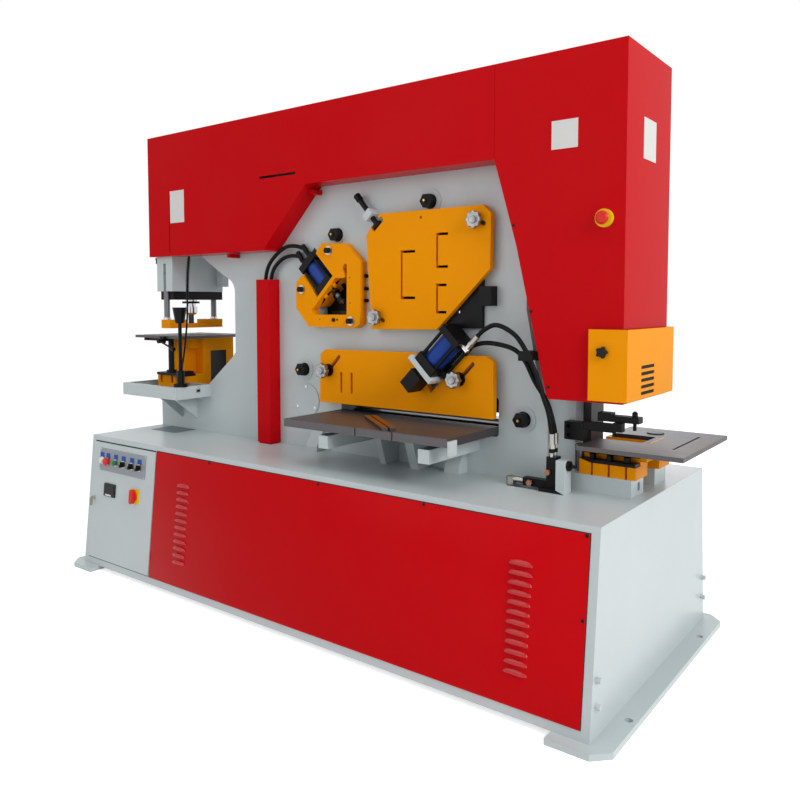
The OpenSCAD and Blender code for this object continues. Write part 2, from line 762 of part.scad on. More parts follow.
estop_x = 1178;
estop_z = 1543;
module right_cover() on_deck() {
    color(red) difference() {
        xz_plate(cover_front, cover_w) right_cover_2d();
        xz_plate(cover_front + cover_t, cover_w - 2 * cover_t) right_cover_inner_2d();
        // Opening for the frame in the slanted edge
        box(cover_seam_x - 5, 1000, doubler_y - return_gap, rear_plate_y + side_plate_t + return_gap, 900, cover_top - 2 * cover_t);
        rod_y(estop_x, estop_z, cover_front - 1, 10, stem_d + 2 * running_gap);
        // Slots for the guard's clamping knobs
        xz_plate(cover_front - 1, cover_w + 2) slot2([guard_knob_x, guard_knob_z - guard_travel], [guard_knob_x, guard_knob_z], 10);
    }
    // Bottom flanges
    color(red) {
        box(984, cover_x1, cover_front, cover_front + 22, cover_notch_z, cover_notch_z + cover_t);
        box(984, cover_x1, cover_y - 22, cover_y, cover_notch_z, cover_notch_z + cover_t);
    }
    // Blank label plates
    color([0.88, 0.88, 0.88]) {
        box(989, 1082, cover_front - 1.5, cover_front, 1779, 1872);
        box(cover_x1, cover_x1 + 1.5, -60, 55, 1746, 1880);
    }
    // Yellow shroud of the stop button
    color(yellow) difference() {
        rod_y(estop_x, estop_z, cover_front - 14, 14, 58);
        rod_y(estop_x, estop_z, cover_front - 20, 40, stem_d + 2 * running_gap);
    }
    color(black) for (p = [[850, 1540], [920, 1245], [987, 990]]) rod_y(p[0], p[1], cover_front - 2.5, 2.5, 10);
}

module cover_stop_button() on_deck() {
    color([0.80, 0.08, 0.08]) {
        rod_y(estop_x, estop_z, cover_front - 34, 42, stem_d);
        translate([estop_x, cover_front - 19, estop_z]) rotate([90, 0, 0]) {
            cylinder(d1 = 34, d2 = 44, h = 8);
            translate([0, 0, 8]) cylinder(d1 = 44, d2 = 32, h = 7);
        }
    }
}

post_x0 = -486;
post_x1 = -402;
post_top = 1380;
post_front = -172;
post_lift = 6;
module hose_post() on_deck() {
    color(red) difference() {
        box(post_x0, post_x1, post_front, doubler_y, deck_z + post_lift, post_top);
        box(post_x0 + cover_t, post_x1 - cover_t, post_front + cover_t, doubler_y + 1, deck_z - 1, post_top + 1);
    }
    // Rubber boot round the hoses where they go into the cabinet
    color(black) box(post_x0 + cover_t + 2, post_x1 - cover_t - 2, post_front + cover_t + 2, doubler_y - 2, deck_z, deck_z + 40);
}

// ---- Beam and its cylinder ----
module main_cylinder() on_deck() {
    color(steel) difference() {
        rod_z(main_x, frame_y, main_cyl_z0, main_cyl_z1 - main_cyl_z0, main_d);
        rod_z(main_x, frame_y, main_cyl_z0 - 1, main_cyl_z1 - main_cyl_z0 - 55, main_rod_d + 2 * running_gap);
    }
}

module main_rod() on_deck() {
    tip = beam_seat_z + rod_tip_gap;
    color(bright) {
        rod_z(main_x, frame_y, tip + 12, main_cyl_z1 - 126 - tip - 12, main_rod_d);
        translate([main_x, frame_y, tip]) cylinder(d1 = main_rod_d / 5, d2 = main_rod_d, h = 12);
    }
}

beam_pts = [
    [-560, 1265, 0], [-60, 1600, 60], [300, beam_seat_z, 0], [905, beam_seat_z, 30], [930, 1500, 0], [935, beam_low, 20],
    [-60, beam_low, 40], [-500, 1010, 0]
];
beam_windows = [
    [angle_window[0] + rear_window_margin, angle_window[1] - rear_window_margin, angle_window[2] + rear_window_margin, angle_window[3] - rear_window_margin],
    [section_window[0] + rear_window_margin, section_window[1] - rear_window_margin, section_window[2] + rear_window_margin, section_window[3] - rear_window_margin]
];
module beam() on_deck() {
    color([0.30, 0.31, 0.32]) difference() {
        xz_plate(beam_y0, beam_w) {
            difference() {
                union() {
                    polygon(rounded(beam_pts));
                    translate([pivot_x, pivot_z]) circle(r = 135);
                }
                for (w = beam_windows) window(w);
            }
        }
        pivot_bore(pivot_d + 2 * running_gap);
        xz_plate(beam_y0 - 1, blade_t + 1) {
            blade_seat_2d(angle_window);
            blade_seat_2d(section_window);
            translate([flat_blade_x0, 0]) square([flat_blade_x1 - flat_blade_x0, flat_blade_top]);
        }
    }
}

module station_slots() {
    l_slot(angle_corner, angle_leg, angle_slot);
    for (s = sections) c_slot(s);
}
module blade_plates(y0, t) {
    xz_plate(y0, t) difference() {
        union() {
            blade_seat_2d(angle_window);
            blade_seat_2d(section_window);
        }
        station_slots();
    }
}

module moving_blades() on_deck() {
    color(steel) {
        blade_plates(beam_y0, blade_t);
        xz_plate(beam_y0, blade_t)
            polygon([[flat_blade_x0, flat_blade_z0], [flat_blade_x1, flat_blade_z1], [flat_blade_x1, flat_blade_top], [flat_blade_x0, flat_blade_top]]);
    }
}

module fixed_blades() on_deck() {
    color(steel) {
        blade_plates(slot_y0 - blade_t, blade_t - blade_gap);
        box(flat_blade_x0, flat_blade_x1, slot_y0 - fixed_blade_t, slot_y0 - blade_gap, flat_window[2], shear_table_z);
    }
}

// ---- Punch station ----
block_x0 = punch_x - punch_block_w / 2;
block_x1 = punch_x + punch_block_w / 2;
block_y0 = punch_y - punch_block_d / 2;
block_y1 = punch_y + punch_block_d / 2;
block_top = 1850;
gland_y0 = block_y0 + 13;
gland_y1 = block_y1 + 7;
ram_top = 1640;
module punch_cylinder() on_deck() {
    color(white) difference() {
        union() {
            box(block_x0, block_x1, block_y0, block_y1, punch_block_z, block_top);
            // Rib the block is bolted to the frame by
            box(block_x1, -1035, 95, block_y1, 1360, 1554);
            box(block_x0 - 75, block_x0, -20, 30, punch_block_z, 1394);
        }
        rod_z(punch_x, punch_y, punch_block_z - 1, ram_top + 60 - punch_block_z, ram_d + 2 * running_gap);
        for (y = [rod_y0, rod_y1]) translate([punch_x, y, punch_block_z - 1])
            cylinder(d = stripper_rod_d + 2 * running_gap, h = 140);
    }
    color(black) {
        difference() {
            box(punch_x - gland_w / 2, punch_x + gland_w / 2, gland_y0, gland_y1, punch_block_z - gland_h, punch_block_z);
            rod_z(punch_x, punch_y, punch_block_z - gland_h - 1, gland_h + 2, ram_d + 2 * running_gap);
            for (y = [rod_y0, rod_y1]) translate([punch_x, y, punch_block_z - gland_h - 1])
                cylinder(d = stripper_rod_d + 2 * running_gap, h = gland_h + 2);
        }
        // Stroke rod hanging in front of the block
        translate([block_x0 - 13, block_y0 + 10, 1473]) cylinder(d = 12, h = 20, $fn = small_fn);
        box(block_x0 - 19, block_x0, block_y0 + 4, block_y0 + 16, 1493, 1503);
    }
}

ram_low = 1256;
module punch_ram() on_deck() {
    color(bright) translate([punch_x, punch_y, 0]) {
        rod_z(0, 0, 1283, ram_top - 1283, ram_d);
        rod_z(0, 0, ram_low, 27, 48);
    }
    color(black) rod_z(punch_x, punch_y, 1272, 11, 88);
}

module punch_tooling() on_deck() {
    color(bright) translate([punch_x, punch_y, 0]) {
        rod_z(0, 0, 1224, ram_low - 1224, coupling_d);
        translate([0, 0, 1214]) cylinder(d1 = coupling_d - 20, d2 = coupling_d, h = 10);
    }
    color(steel) translate([punch_x, punch_y, 0]) {
        rod_z(0, 0, 1150, 65, punch_d);
    }
}

strip_slot = 36;
module stripper() on_deck() {
    y0 = rod_y0 - 12;
    y1 = rod_y1 + 24;
    color(yellow) difference() {
        union() {
            box(-1177, -1104, y0, y1, stripper_z, stripper_z + stripper_t);
            box(-1177, -1104, y0, y0 + 100, stripper_z, 1190);
            box(-1177, -1104, y1 - 110, y1, stripper_z, 1190);
        }
        rod_z(punch_x, punch_y, stripper_z - 1, 60, strip_slot);
        box(-1200, punch_x, punch_y - strip_slot / 2, punch_y + strip_slot / 2, stripper_z - 1, 1191);
    }
    for (y = [rod_y0, rod_y1]) translate([punch_x, y, 0]) {
        color(black) rod_z(0, 0, 1189, 227, stripper_rod_d);
        color(bright) rod_z(0, 0, 1190, 12, stripper_rod_d + 8);
    }
}

table_low = punch_table_z - punch_table_t;
module die_holder() on_deck() {
    color(yellow) {
        difference() {
            box(-1216, -1069, -184, 37, jaw_seat_z, 912);
            for (x = [-1186, -1099]) box(x - 9, x + 9, -185, -130, jaw_seat_z + 22, 913);
        }
        box(-1160, -1130, -138, 37, 912, table_low - 1);
        box(-1216, -1069, -11, 37, 912, table_low - 1);
        box(-1216, -1069, 37, 190, 1026, table_low - 1);
        box(-1216, -1069, 140, 190, jaw_seat_z, 1027);
        box(-1216, -1069, 37, 190, jaw_seat_z, 862);
        // Seat of the die
        difference() {
            rod_z(punch_x, punch_y, 1040, table_low - 1 - 1040, 110);
            rod_z(punch_x, punch_y, 1041, 80, punch_d + 10);
        }
    }
    // Die in the table's hole
    color(steel) difference() {
        rod_z(punch_x, punch_y, 1060, punch_table_z - 1060, 58);
        rod_z(punch_x, punch_y, 1041, 80, punch_d + 1);
    }
}

module punch_table() on_deck() {
    // Table plate with two T-slots and a square hole for the die
    color(steel) difference() {
        box(-1337, -953, -230, 180, table_low, punch_table_z);
        box(-1190, -1100, punch_y - 45, punch_y + 45, table_low - 1, punch_table_z + 1);
        for (y = [-190, 140]) box(-1338, -952, y - 9, y + 9, punch_table_z - 6, punch_table_z + 1);
    }
    color(black) {
        // Gauge bar under the front edge with its two screws
        box(-1267, -1069, -226, -206, table_low - 13, table_low);
        for (x = [-1240, -1110]) translate([x, -226, table_low - 7]) rotate([90, 0, 0]) cylinder(d = 11, h = 14, $fn = small_fn);
        // Post and the clamp plate it stands on
        rod_z(-1118, -172, 912, table_low - 912, 29);
        box(-1195, -970, -205, -139, 912, 925);
        rod_z(-1118, -172, 925, 12, 50);
        box(-1020, -970, -205, -150, 925, 937);
    }
    // Socket the lever turns in
    color(black) difference() {
        box(-1112, -1080, -244, -230, table_low - 22, table_low + 10);
        rod_y(-1096, table_low - 12, -260, 40, 10 + 2 * running_gap);
    }
}

module table_lever() on_deck() {
    z = table_low - 12;
    color(black) {
        rod_y(-1096, z, -262, 30, 10);
        rod_y(-1096, z, -266, 21, 22);
        translate([-1096, -257, z]) rotate([0, 108, 0]) cylinder(d = 9, h = 104, $fn = small_fn);
        translate([-1096, -257, z]) rotate([0, 108, 0]) translate([0, 0, 92]) cylinder(d = 20, h = 30, $fn = small_fn);
    }
}

// ---- Chip tray and lamp ----
tray_z = 812;
tray_x0 = -1322;
// The die holder's foot reaches over the tray's back edge
module tray_notch() { box(-1219, -1066, doubler_y - 20, doubler_y + 1, jaw_seat_z - 1, tray_z + tray_h + 1); }
module chip_tray() on_deck() {
    y0 = doubler_y - tray_reach;
    t = tray_t;
    color(white) {
        difference() {
            box(tray_x0, tray_x0 + tray_len, y0, doubler_y, tray_z, tray_z + tray_h);
            box(tray_x0 + t, tray_x0 + tray_len - t, y0 + t, doubler_y - t, tray_z + t, tray_z + tray_h + 1);
            tray_notch();
        }
        // Folded rim
        difference() {
            box(tray_x0, tray_x0 + tray_len, y0, doubler_y, tray_z + tray_h - t, tray_z + tray_h);
            box(tray_x0 + 16, tray_x0 + tray_len - 16, y0 + 16, doubler_y - 16, tray_z, tray_z + tray_h + 1);
            tray_notch();
        }
        // Bracket underneath
        along_x(-1130, 12) polygon([[doubler_y, 690], [doubler_y, tray_z], [y0 + 60, tray_z]]);
        along_x(-1010, 12) polygon([[doubler_y, 690], [doubler_y, tray_z], [y0 + 60, tray_z]]);
    }
}

lamp_at = [-915, -270];
lamp_z = tray_z + tray_h;
module task_lamp() on_deck() {
    color(black) translate([lamp_at[0], lamp_at[1], lamp_z]) {
        cylinder(d = lamp_foot_d, h = 14);
        rod_z(0, 0, 14, 64, 36);
        rod_z(0, 0, 78, 230, lamp_neck_d);
        translate([0, 0, 306]) cylinder(d1 = 43, d2 = lamp_mouth_d, h = 75);
    }
}

// ---- Angle shear ----
angle_seat = [-88, 1341];
angle_cyl_y = -99;
angle_mount_t = 16;
angle_bolts = [34, 29];
angle_plate_y = doubler_y - 12 - angle_plate_t;
module angle_housing_2d() {
    difference() {
        polygon([[-99, 1528], [25, 1521], [111, 1444], [109, 1187], [82, 1171], [-179, 1172], [-255, 1252], [-254, 1365],
            [-215, 1397], [-130, 1298], [-40, 1388], [-137, 1487]]);
        polygon(rounded([[-166, 1244, 0], [-147, 1224, 8], [37, 1225, 4], [39, 1433, 0], [28, 1439, 6], [13, 1417, 10],
            [32, 1378, 8], [-26, 1379, 4], [-150, 1255, 8]]));
    }
}

module angle_shear_housing() on_deck() {
    color(yellow) xz_plate(angle_plate_y, angle_plate_t) angle_housing_2d();
    color(black) difference() {
        xz_plate(doubler_y - 12, 12) angle_housing_2d();
        on_angle_cylinder() rod_z(0, 0, -60, 100, angle_rod_d + 4);
    }
    // Plate across the window that carries the cylinder, with its bolts
    on_angle_cylinder() {
        color(yellow) difference() {
            translate([-100, doubler_y - angle_cyl_y - 1, -angle_mount_t - 1])
                cube([172, slot_y0 - blade_t - 3 - doubler_y, angle_mount_t]);
            rod_z(0, 0, -30, 40, angle_rod_d + 4);
        }
        color(black) for (sx = [-1, 1], sy = [-1, 1]) translate([sx * angle_bolts[0], sy * angle_bolts[1], -angle_mount_t - 12])
            cylinder(d = 20, h = 12, $fn = 6);
    }
    for (p = [[-61, 1495], [-220, 1333], [60, 1199]]) {
        color(bright) rod_y(p[0], p[1], angle_plate_y - 4, 4, 39);
        color(black) translate([p[0], angle_plate_y - 4, p[1]]) rotate([90, 0, 0]) cylinder(d = 26, h = 16, $fn = 6);
    }
}

// Local z along the cylinder, away from its rod
module on_angle_cylinder() {
    translate([angle_seat[0], angle_cyl_y, angle_seat[1]]) rotate([0, -45, 0]) children();
}

module square_cap(size, len, z, bore) {
    translate([0, 0, z]) linear_extrude(len) difference() {
        round_rect(size, size, 5);
        circle(d = bore);
    }
}

module tie_rods(size, z0, z1, d) {
    for (sx = [-1, 1], sy = [-1, 1]) translate([sx * (size / 2 - 12), sy * (size / 2 - 12), z0]) cylinder(d = d, h = z1 - z0, $fn = small_fn);
}

angle_cap = 102;
angle_len = 165;
angle_rod_d = 26;
angle_port = 22;
module angle_cylinder() on_deck() {
    on_angle_cylinder() {
        color(black) {
            square_cap(angle_cap, 28, 0, angle_rod_d + 2 * running_gap);
            square_cap(angle_cap, 32, angle_len - 32, 0.01);
            tie_rods(angle_cap, 2, angle_len + 6, 12);
            for (x = [-angle_port, angle_port]) translate([x, -27, angle_len - 1]) cylinder(d = 20, h = 23, $fn = small_fn);
        }
        color(blue) translate([0, 0, 27]) difference() {
            cylinder(d = angle_barrel_d, h = angle_len - 58);
            rod_z(0, 0, -1, angle_len - 70, angle_rod_d + 2 * running_gap);
        }
    }
}

module angle_rod() on_deck() {
    on_angle_cylinder() {
        color(bright) rod_z(0, 0, -66, 140, angle_rod_d);
        color(steel) translate([0, 0, -42]) cylinder(d = 38, h = 12, $fn = 6);
        color(steel) rod_z(0, 0, -84, 22, 34);
        color(steel) translate([0, 0, -95]) cylinder(d1 = 8, d2 = 34, h = 11);
    }
}

// ---- Section shear ----
section_y = doubler_y - 17 - section_plate_t;
section_dir = [-0.89, 0.456];
section_travel = 30;
section_studs = [[669, 1575], [204, 1217]];
stud_slot_d = stud_d + 5;
section_bracket = [653, 730, 1263, 1335];
module section_die_plate() on_deck() {
    color(black) difference() {
        union() {
            xz_plate(doubler_y - 16, 16) translate([(250 + 677) / 2, (1179 + 1560) / 2]) round_rect(677 - 250, 1560 - 1179, 10);
            // Guide lug at the right edge
            box(section_bracket[0], section_bracket[1], doubler_y - 17, doubler_y, section_bracket[2], section_bracket[3]);
            box(section_bracket[0] + 26, section_bracket[1], section_y - 2, doubler_y - 16, section_bracket[2], section_bracket[3]);
        }
        xz_plate(doubler_y - 20, 25) {
            for (s = sections) c_slot([s[0], s[1], s[2] + 44, s[3]]);
        }
    }
}

module section_plate() on_deck() {
    color(yellow) xz_plate(section_y, section_plate_t) difference() {
        polygon([[204, 1623], [220, 1629], [694, 1629], [726, 1597], [723, 1398], [490, 1172], [171, 1168], [145, 1546]]);
        for (s = sections) c_slot(s);
        translate([415, 1602]) circle(d = 11);
        for (p = section_studs) slot2(p, p - section_travel * section_dir, stud_slot_d);
        // T-slot for the screw's head, long enough for the plate's sideways travel
        translate(screw_block_at) rotate(atan2(screw_axis[1], screw_axis[0])) {
            translate([20, -14]) square([40, 44]);
            translate([48, -25]) square([22, 66]);
        }
    }
}

module adjusting_screw() on_deck() {
    on_screw() {
        color(black) {
            rod_z(0, 0, -105, 160, screw_shank_d);
            rod_z(0, 0, -112, 26, 30);
        }
        color(black) rod_z(0, 0, 50, 16, 40);
    }
}

// ---- Flat bar shear ----
flat_y = doubler_y - 27 - flat_plate_t;
flat_dir = [-0.7071, -0.7071];
flat_studs = [[-56, 990], [600, 990]];
flat_slot_len = 82;
flat_axis_at = [471, 1020];
flat_cyl_y = -185;
flat_cap = 102;
flat_len = 200;
flat_rod_d = 32;
flat_flange = [134, 80, 18];
flat_port = [70, -15];
flat_pipe = [68, 10];
module flat_hold_plate() on_deck() {
    color(yellow) xz_plate(flat_y, flat_plate_t) difference() {
        polygon([[-102, 1056], [-77, 1077], [404, 1082], [469, 928], [629, 1080], [712, 1081], [746, 1061], [746, 852], [-108, 852]]);
        for (p = flat_studs) slot2(p, p - flat_slot_len * flat_dir, stud_slot_d);
        for (x = [14, 71]) slot2([x, 903], [x, 980], 12);
    }
    // Pads the plate slides on
    color(steel) {
        box(-102, -78, flat_y + flat_plate_t, doubler_y - 0.4, 880, 1040);
        box(120, 360, flat_y + flat_plate_t, doubler_y - 0.4, 1040, 1070);
        box(700, 724, flat_y + flat_plate_t, doubler_y - 0.4, 960, 1060);
    }
}

// Local z along the cylinder, away from its rod
module on_flat_cylinder() {
    translate([flat_axis_at[0], flat_cyl_y, flat_axis_at[1]]) rotate([0, 45, 0]) children();
}

module flat_cylinder() on_deck() {
    on_flat_cylinder() {
        // Welded flange at the rod's end, in front of the hold-down plate
        color(white) difference() {
            translate([-flat_flange[0] / 2, flat_y - 4 - flat_cyl_y - flat_flange[1], 0]) cube(flat_flange);
            rod_z(0, 0, -1, 20, flat_rod_d + 2 * running_gap);
        }
        color(black) {
            translate([32, -10, -22]) cube([28, 30, 22]);
            square_cap(flat_cap, 36, flat_flange[2], flat_rod_d + 2 * running_gap);
            square_cap(flat_cap, 28, flat_len - 28, 0.01);
            tie_rods(flat_cap, 20, flat_len + 7, 13);
            // Port block and elbow on the rear cap
            translate([41, flat_port[1], 186]) rotate([0, 90, 0]) cylinder(d = 24, h = 40, $fn = small_fn);
            // Port block of the front cap's pipe
            translate([41, flat_pipe[1], 38]) rotate([0, 90, 0]) cylinder(d = 24, h = 38, $fn = small_fn);
            translate([flat_pipe[0], flat_pipe[1], 38]) cylinder(d = 12, h = 124, $fn = small_fn);
            translate([flat_pipe[0], flat_pipe[1], 160]) cylinder(d = 22, h = 18, $fn = 6);
        }
        color(bright) translate([flat_port[0], flat_port[1], 186]) cylinder(d = 20, h = 26, $fn = 6);
        color(blue) translate([0, 0, 53]) difference() {
            cylinder(d = flat_barrel_d, h = flat_len - 80);
            rod_z(0, 0, -1, flat_len - 100, flat_rod_d + 2 * running_gap);
        }
        // Bracket to the frame, inside the hold-down plate's notch
        color(black) for (z = [22, 145]) translate([-40, flat_cap / 2 - 1, z]) cube([80, doubler_y - flat_cyl_y - flat_cap / 2 + 1, 30]);
    }
}

module flat_rod() on_deck() {
    on_flat_cylinder() color(bright) rod_z(0, 0, -50, 160, flat_rod_d);
    color(black) on_flat_cylinder() {
        translate([-28, -57, -94]) cube([56, flat_y - flat_cyl_y + 57, 78]);
    }
}

// ---- Star knobs ----
module star_knob(p, y, out, collar_d) {
    color(black) rod_y(p[0], p[1], y - out, out - 0.4, collar_d);
    color(bright) {
        translate([p[0], y - out, p[1]]) rotate([90, 0, 0]) linear_extrude(24) {
            circle(d = knob_d - 8);
            for (i = [0:7]) rotate(i * 45 + 10) translate([knob_d / 2 - 8, 0]) circle(d = 16, $fn = small_fn);
        }
        rod_y(p[0], p[1], y - out - 30, 8, 30);
        rod_y(p[0], p[1], y - out - 8, out + 8 + stud_reach(y), stud_d);
    }
}
function stud_reach(y) = doubler_y + 20 - y;
module knob_1() on_deck() { star_knob(section_studs[0], section_y, 12, 30); }
module knob_2() on_deck() { star_knob(section_studs[1], section_y, 12, 30); }
module knob_3() on_deck() { star_knob(flat_studs[0], flat_y, 30, 54); }
module knob_4() on_deck() { star_knob(flat_studs[1], flat_y, 30, 54); }

// ---- Shear table ----
module shear_table() on_deck() {
    y1 = doubler_y;
    y0 = y1 - shear_table_reach;
    z0 = shear_table_z - shear_table_t;
    color(steel) difference() {
        box(-30, -30 + shear_table_len, y0, y1, z0, shear_table_z);
        for (x = [330, 500]) box(x - 6, x + 6, y0 - 1, y0 + 90, z0 - 1, shear_table_z + 1);
    }
    color(white) {
        // Channel-section arms under the table, open on top
        for (x = [145, 612]) difference() {
            box(x, x + 47, -440, y1, z0 - 68, z0 - 18);
            box(x + 5, x + 42, -435, y1 - 5, z0 - 63, z0 - 17);
        }
        for (x = [145, 612]) box(x + 4, x + 43, -240, y1, z0 - 64, z0);
        // Gusset legs standing on the cabinet
        for (l = [[249, 28], [396, 40]])
            along_x(l[0], l[1]) polygon([[y1, deck_z], [-190, deck_z], [-244, z0], [y1, z0]]);
        box(-30 + shear_table_len, -22 + shear_table_len, y0, y0 + 48, z0 - 30, shear_table_z - 8);
    }
    // Two guide bars lying slantwise on the table
    color([0.30, 0.27, 0.24]) for (side = [-1, 1])
        translate([360, -338, shear_table_z]) rotate(-38.9) translate([-160, side * 14 - 11, 0]) cube([320, 22, 12]);
}

// ---- Hydraulic fittings at the frame's right side ----
module hose_fittings() on_deck() {
    color(black) {
        // Clamp holding the two hoses
        box(884, 938, -178, -172, 1076, 1110);
        box(884, 938, -232, -226, 1076, 1110);
        rod_y(931, 1103, -238, 64, 9);
        box(888, 908, -173, front_plate_y, 1080, 1100);
        // Valve block and the line along the cabinet's top
        box(981, 1016, -205, -165, deck_z, 752);
        box(889, 980, -200, -170, 640, 668);
        rod_z(836, -185, deck_z, 30, 34);
        translate([836, -185, 654]) rotate([0, 90, 0]) cylinder(d = 22, h = 60, $fn = small_fn);
        box(960, 1044, -222, -148, deck_z, 645);
        for (y = [-198, -174]) translate([998, y, 766]) cylinder(d = 22, h = 16, $fn = 6);
    }
    color([0.80, 0.62, 0.25]) {
        for (y = [-198, -174]) translate([998, y, 751]) cylinder(d = 13, h = 16, $fn = small_fn);
        translate([920, -199, 654]) rotate([90, 0, 0]) cylinder(d = 22, h = 16, $fn = 6);
        translate([990, -204, 700]) rotate([90, 0, 0]) cylinder(d = 20, h = 14, $fn = 6);
    }
    // Small white valve housing with its rod
    color(white) box(1024, 1056, -222, -170, deck_z, 747);
    color(black) {
        translate([1056, -196, 728]) rotate([0, 90, 0]) cylinder(d = 34, h = 10);
        translate([1066, -196, 728]) rotate([0, 90, 0]) cylinder(d = 12, h = 20, $fn = small_fn);
    }
}

// ---- Notcher ----
notch_x0 = column_x + 62;
notch_x1 = notch_x0 + notch_table_len;
notch_low = notch_table_z - notch_table_t;
notch_tool = [1096, 1262];
module notch_base() on_deck() {
    color(white) {
        difference() {
            box(1034, 1250, -131, -17, deck_z, 693);
            box(1200, 1251, -132 + 60, -50, deck_z + 14, 675);
        }
        box(1034, 1250, 97, 211, deck_z, 693);
    }
    color(yellow) {
        // Lugs held by the clamp plate
        for (x = [[1068, 1110], [1117, 1169], [1176, 1228], [1235, 1264]]) box(x[0], x[1], -131, -85, 693, 735);
        along_x(1068, 196) polygon([[-85, 693], [-20, 693], [-20, notch_low], [-90, notch_low], [-90, 760], [-85, 735]]);
        along_x(1068, 196) polygon([[211, 693], [100, 693], [100, notch_low], [150, notch_low]]);
        // Bar left of the tool opening that carries the table
        box(1264, 1285, -90, 150, 750, notch_low);
    }
    color(black) {
        box(1068, 1262, -131, -90, 735, 746);
        for (x = [1109, 1169, 1228]) translate([x, -112, 746]) cylinder(d = 24, h = 18, $fn = 6);
    }
    // Post from the base to the table
    color(steel) rod_z(1092 + 8, -190, deck_z, notch_low - deck_z, 26);
}

module notch_table() on_deck() {
    color(steel) {
        difference() {
            box(notch_x0, notch_x1, notch_y - notch_table_w / 2, notch_y + notch_table_w / 2, notch_low, notch_table_z);
            box(notch_tool[0], notch_tool[1], notch_y - notch_w / 2, notch_y + notch_w / 2, notch_low - 1, notch_table_z + 1);
            box(notch_x0 - 1, notch_tool[0] + 1, -20, 100, notch_low - 1, notch_table_z + 1);
            box(1366, 1374, -90, 203, notch_table_z - 5, notch_table_z + 1);
        }
        // Blades round the tool opening
        for (s = [-1, 1]) box(notch_tool[0], notch_tool[1], notch_y + s * notch_w / 2 - (s > 0 ? 14 : 0), notch_y + s * notch_w / 2 + (s > 0 ? 0 : 14), notch_low, notch_table_z);
        box(notch_tool[1] - 14, notch_tool[1], notch_y - notch_w / 2, notch_y + notch_w / 2, notch_low, notch_table_z);
        rod_z(1220, 186, notch_table_z - 1, 5, 60);
    }
    color(yellow) box(1272, 1278, -26, 112, notch_table_z - 1, notch_table_z + 0.6);
}

guide_x1 = 1085;
ram_y0 = notch_y - notch_w / 2 + 16;
ram_y1 = notch_y + notch_w / 2 - 16;
notch_ram_z = 972;
ram_gap = 0.05;
module notch_guide() on_deck() {
    color([0.30, 0.31, 0.32]) {
        // Wear plate on the column's end
        box(column_x, column_x + 30, slot_y0, rear_plate_y, deck_z, 960);
        difference() {
            box(column_x, 1238, slot_y0 - 70, rear_plate_y + 70, 1180, 1500);
            box(guide_x1 - ram_gap, 1200 + ram_gap, ram_y0 - ram_gap, ram_y1 + ram_gap, 1179, 1501);
        }
    }
}

module notch_ram() on_deck() {
    color(steel) {
        box(guide_x1, 1200, ram_y0, ram_y1, notch_ram_z + 60, 1680);
        box(1112, 1246 - 14, ram_y0 - 0, ram_y1, notch_ram_z, notch_ram_z + 60);
    }
}

guard_x0 = 1135;
guard_x1 = cover_x1 + guard_gap + guard_t + 3;
guard_z = 958;
guard_knob_x = 1184;
guard_knob_z = 1116;
guard_travel = 110;
guard_y = cover_y + guard_gap + guard_t;
module notch_guard() on_deck() {
    color(yellow) difference() {
        box(guard_x0, guard_x1, -guard_y, guard_y, guard_z, guard_z + guard_h);
        box(guard_x0 - 1, guard_x1 - guard_t, -guard_y + guard_t, guard_y - guard_t, guard_z - 1, guard_z + guard_h + 1);
        for (i = [0:guard_slots - 1]) translate([guard_x1 - 2 * guard_t, -35, 977 + i * 21.5]) rotate([90, 0, 90]) linear_extrude(4 * guard_t)
            slot2([-58, 0], [58, 0], 11);
    }
    // Clamping knobs, their studs running in the cover's slots
    for (s = [-1, 1]) {
        color(black) rod_y(guard_knob_x, guard_knob_z, s > 0 ? guard_y : -guard_y - 16, 16, 28);
        color(steel) rod_y(guard_knob_x, guard_knob_z, s > 0 ? cover_y - 12 : -guard_y, guard_y - cover_y + 12, 8);
        color(steel) rod_y(guard_knob_x, guard_knob_z, s > 0 ? cover_y + 0.5 : -guard_y + 1, guard_gap, 20);
    }
}

module notch_stop() on_deck() {
    color(black) {
        difference() {
            box(1006, 1076, -120, front_plate_y, 804, 866);
            for (x = [1022]) for (z = [820, 850]) rod_y(x, z, -121, 12, 14);
        }
        box(1070, 1184, -118, -98, 841, 871);
        box(1180, 1211, -122, -92, 846, 875);
        box(1118, 1260, -100, -60, 875, 896);
        box(1118, 1165, -100, -60, 896, 904);
        translate([1240, -80, 850]) cylinder(d = 12, h = 64, $fn = small_fn);
        translate([1240, -80, 896]) cylinder(d = 20, h = 14, $fn = 6);
    }
}

// ---- Hoses ----
// Points of a curve through the route points (Catmull-Rom), k steps between two of them
function spline(p, k) = [for (i = [0:len(p) - 2], j = [0:k - 1])
    let(a = p[max(i - 1, 0)], b = p[i], c = p[i + 1], d = p[min(i + 2, len(p) - 1)], t = j / k)
    0.5 * (2 * b + (c - a) * t + (2 * a - 5 * b + 4 * c - d) * t * t + (3 * b - a - 3 * c + d) * t * t * t)];
function path_of(p, k) = concat(spline(p, k), [p[len(p) - 1]]);
function tangent(p, i) = unit(p[min(i + 1, len(p) - 1)] - p[max(i - 1, 0)]);
function ring(p, i, r, n, side) = let(t = tangent(p, i), u = unit(cross(t, side)), v = cross(t, u))
    [for (j = [0:n - 1]) p[i] + r * (cos(360 * j / n) * u + sin(360 * j / n) * v)];
module hose(route, d, k, side) {
    p = path_of(route, k);
    n = 12;
    m = len(p);
    polyhedron(
        points = [for (i = [0:m - 1]) each ring(p, i, d / 2, n, side)],
        faces = concat(
            [[for (j = [0:n - 1]) j]],
            [[for (j = [n - 1:-1:0]) (m - 1) * n + j]],
            [for (i = [0:m - 2], j = [0:n - 1]) [i * n + j, (i + 1) * n + j, (i + 1) * n + (j + 1) % n, i * n + (j + 1) % n]]
        )
    );
}

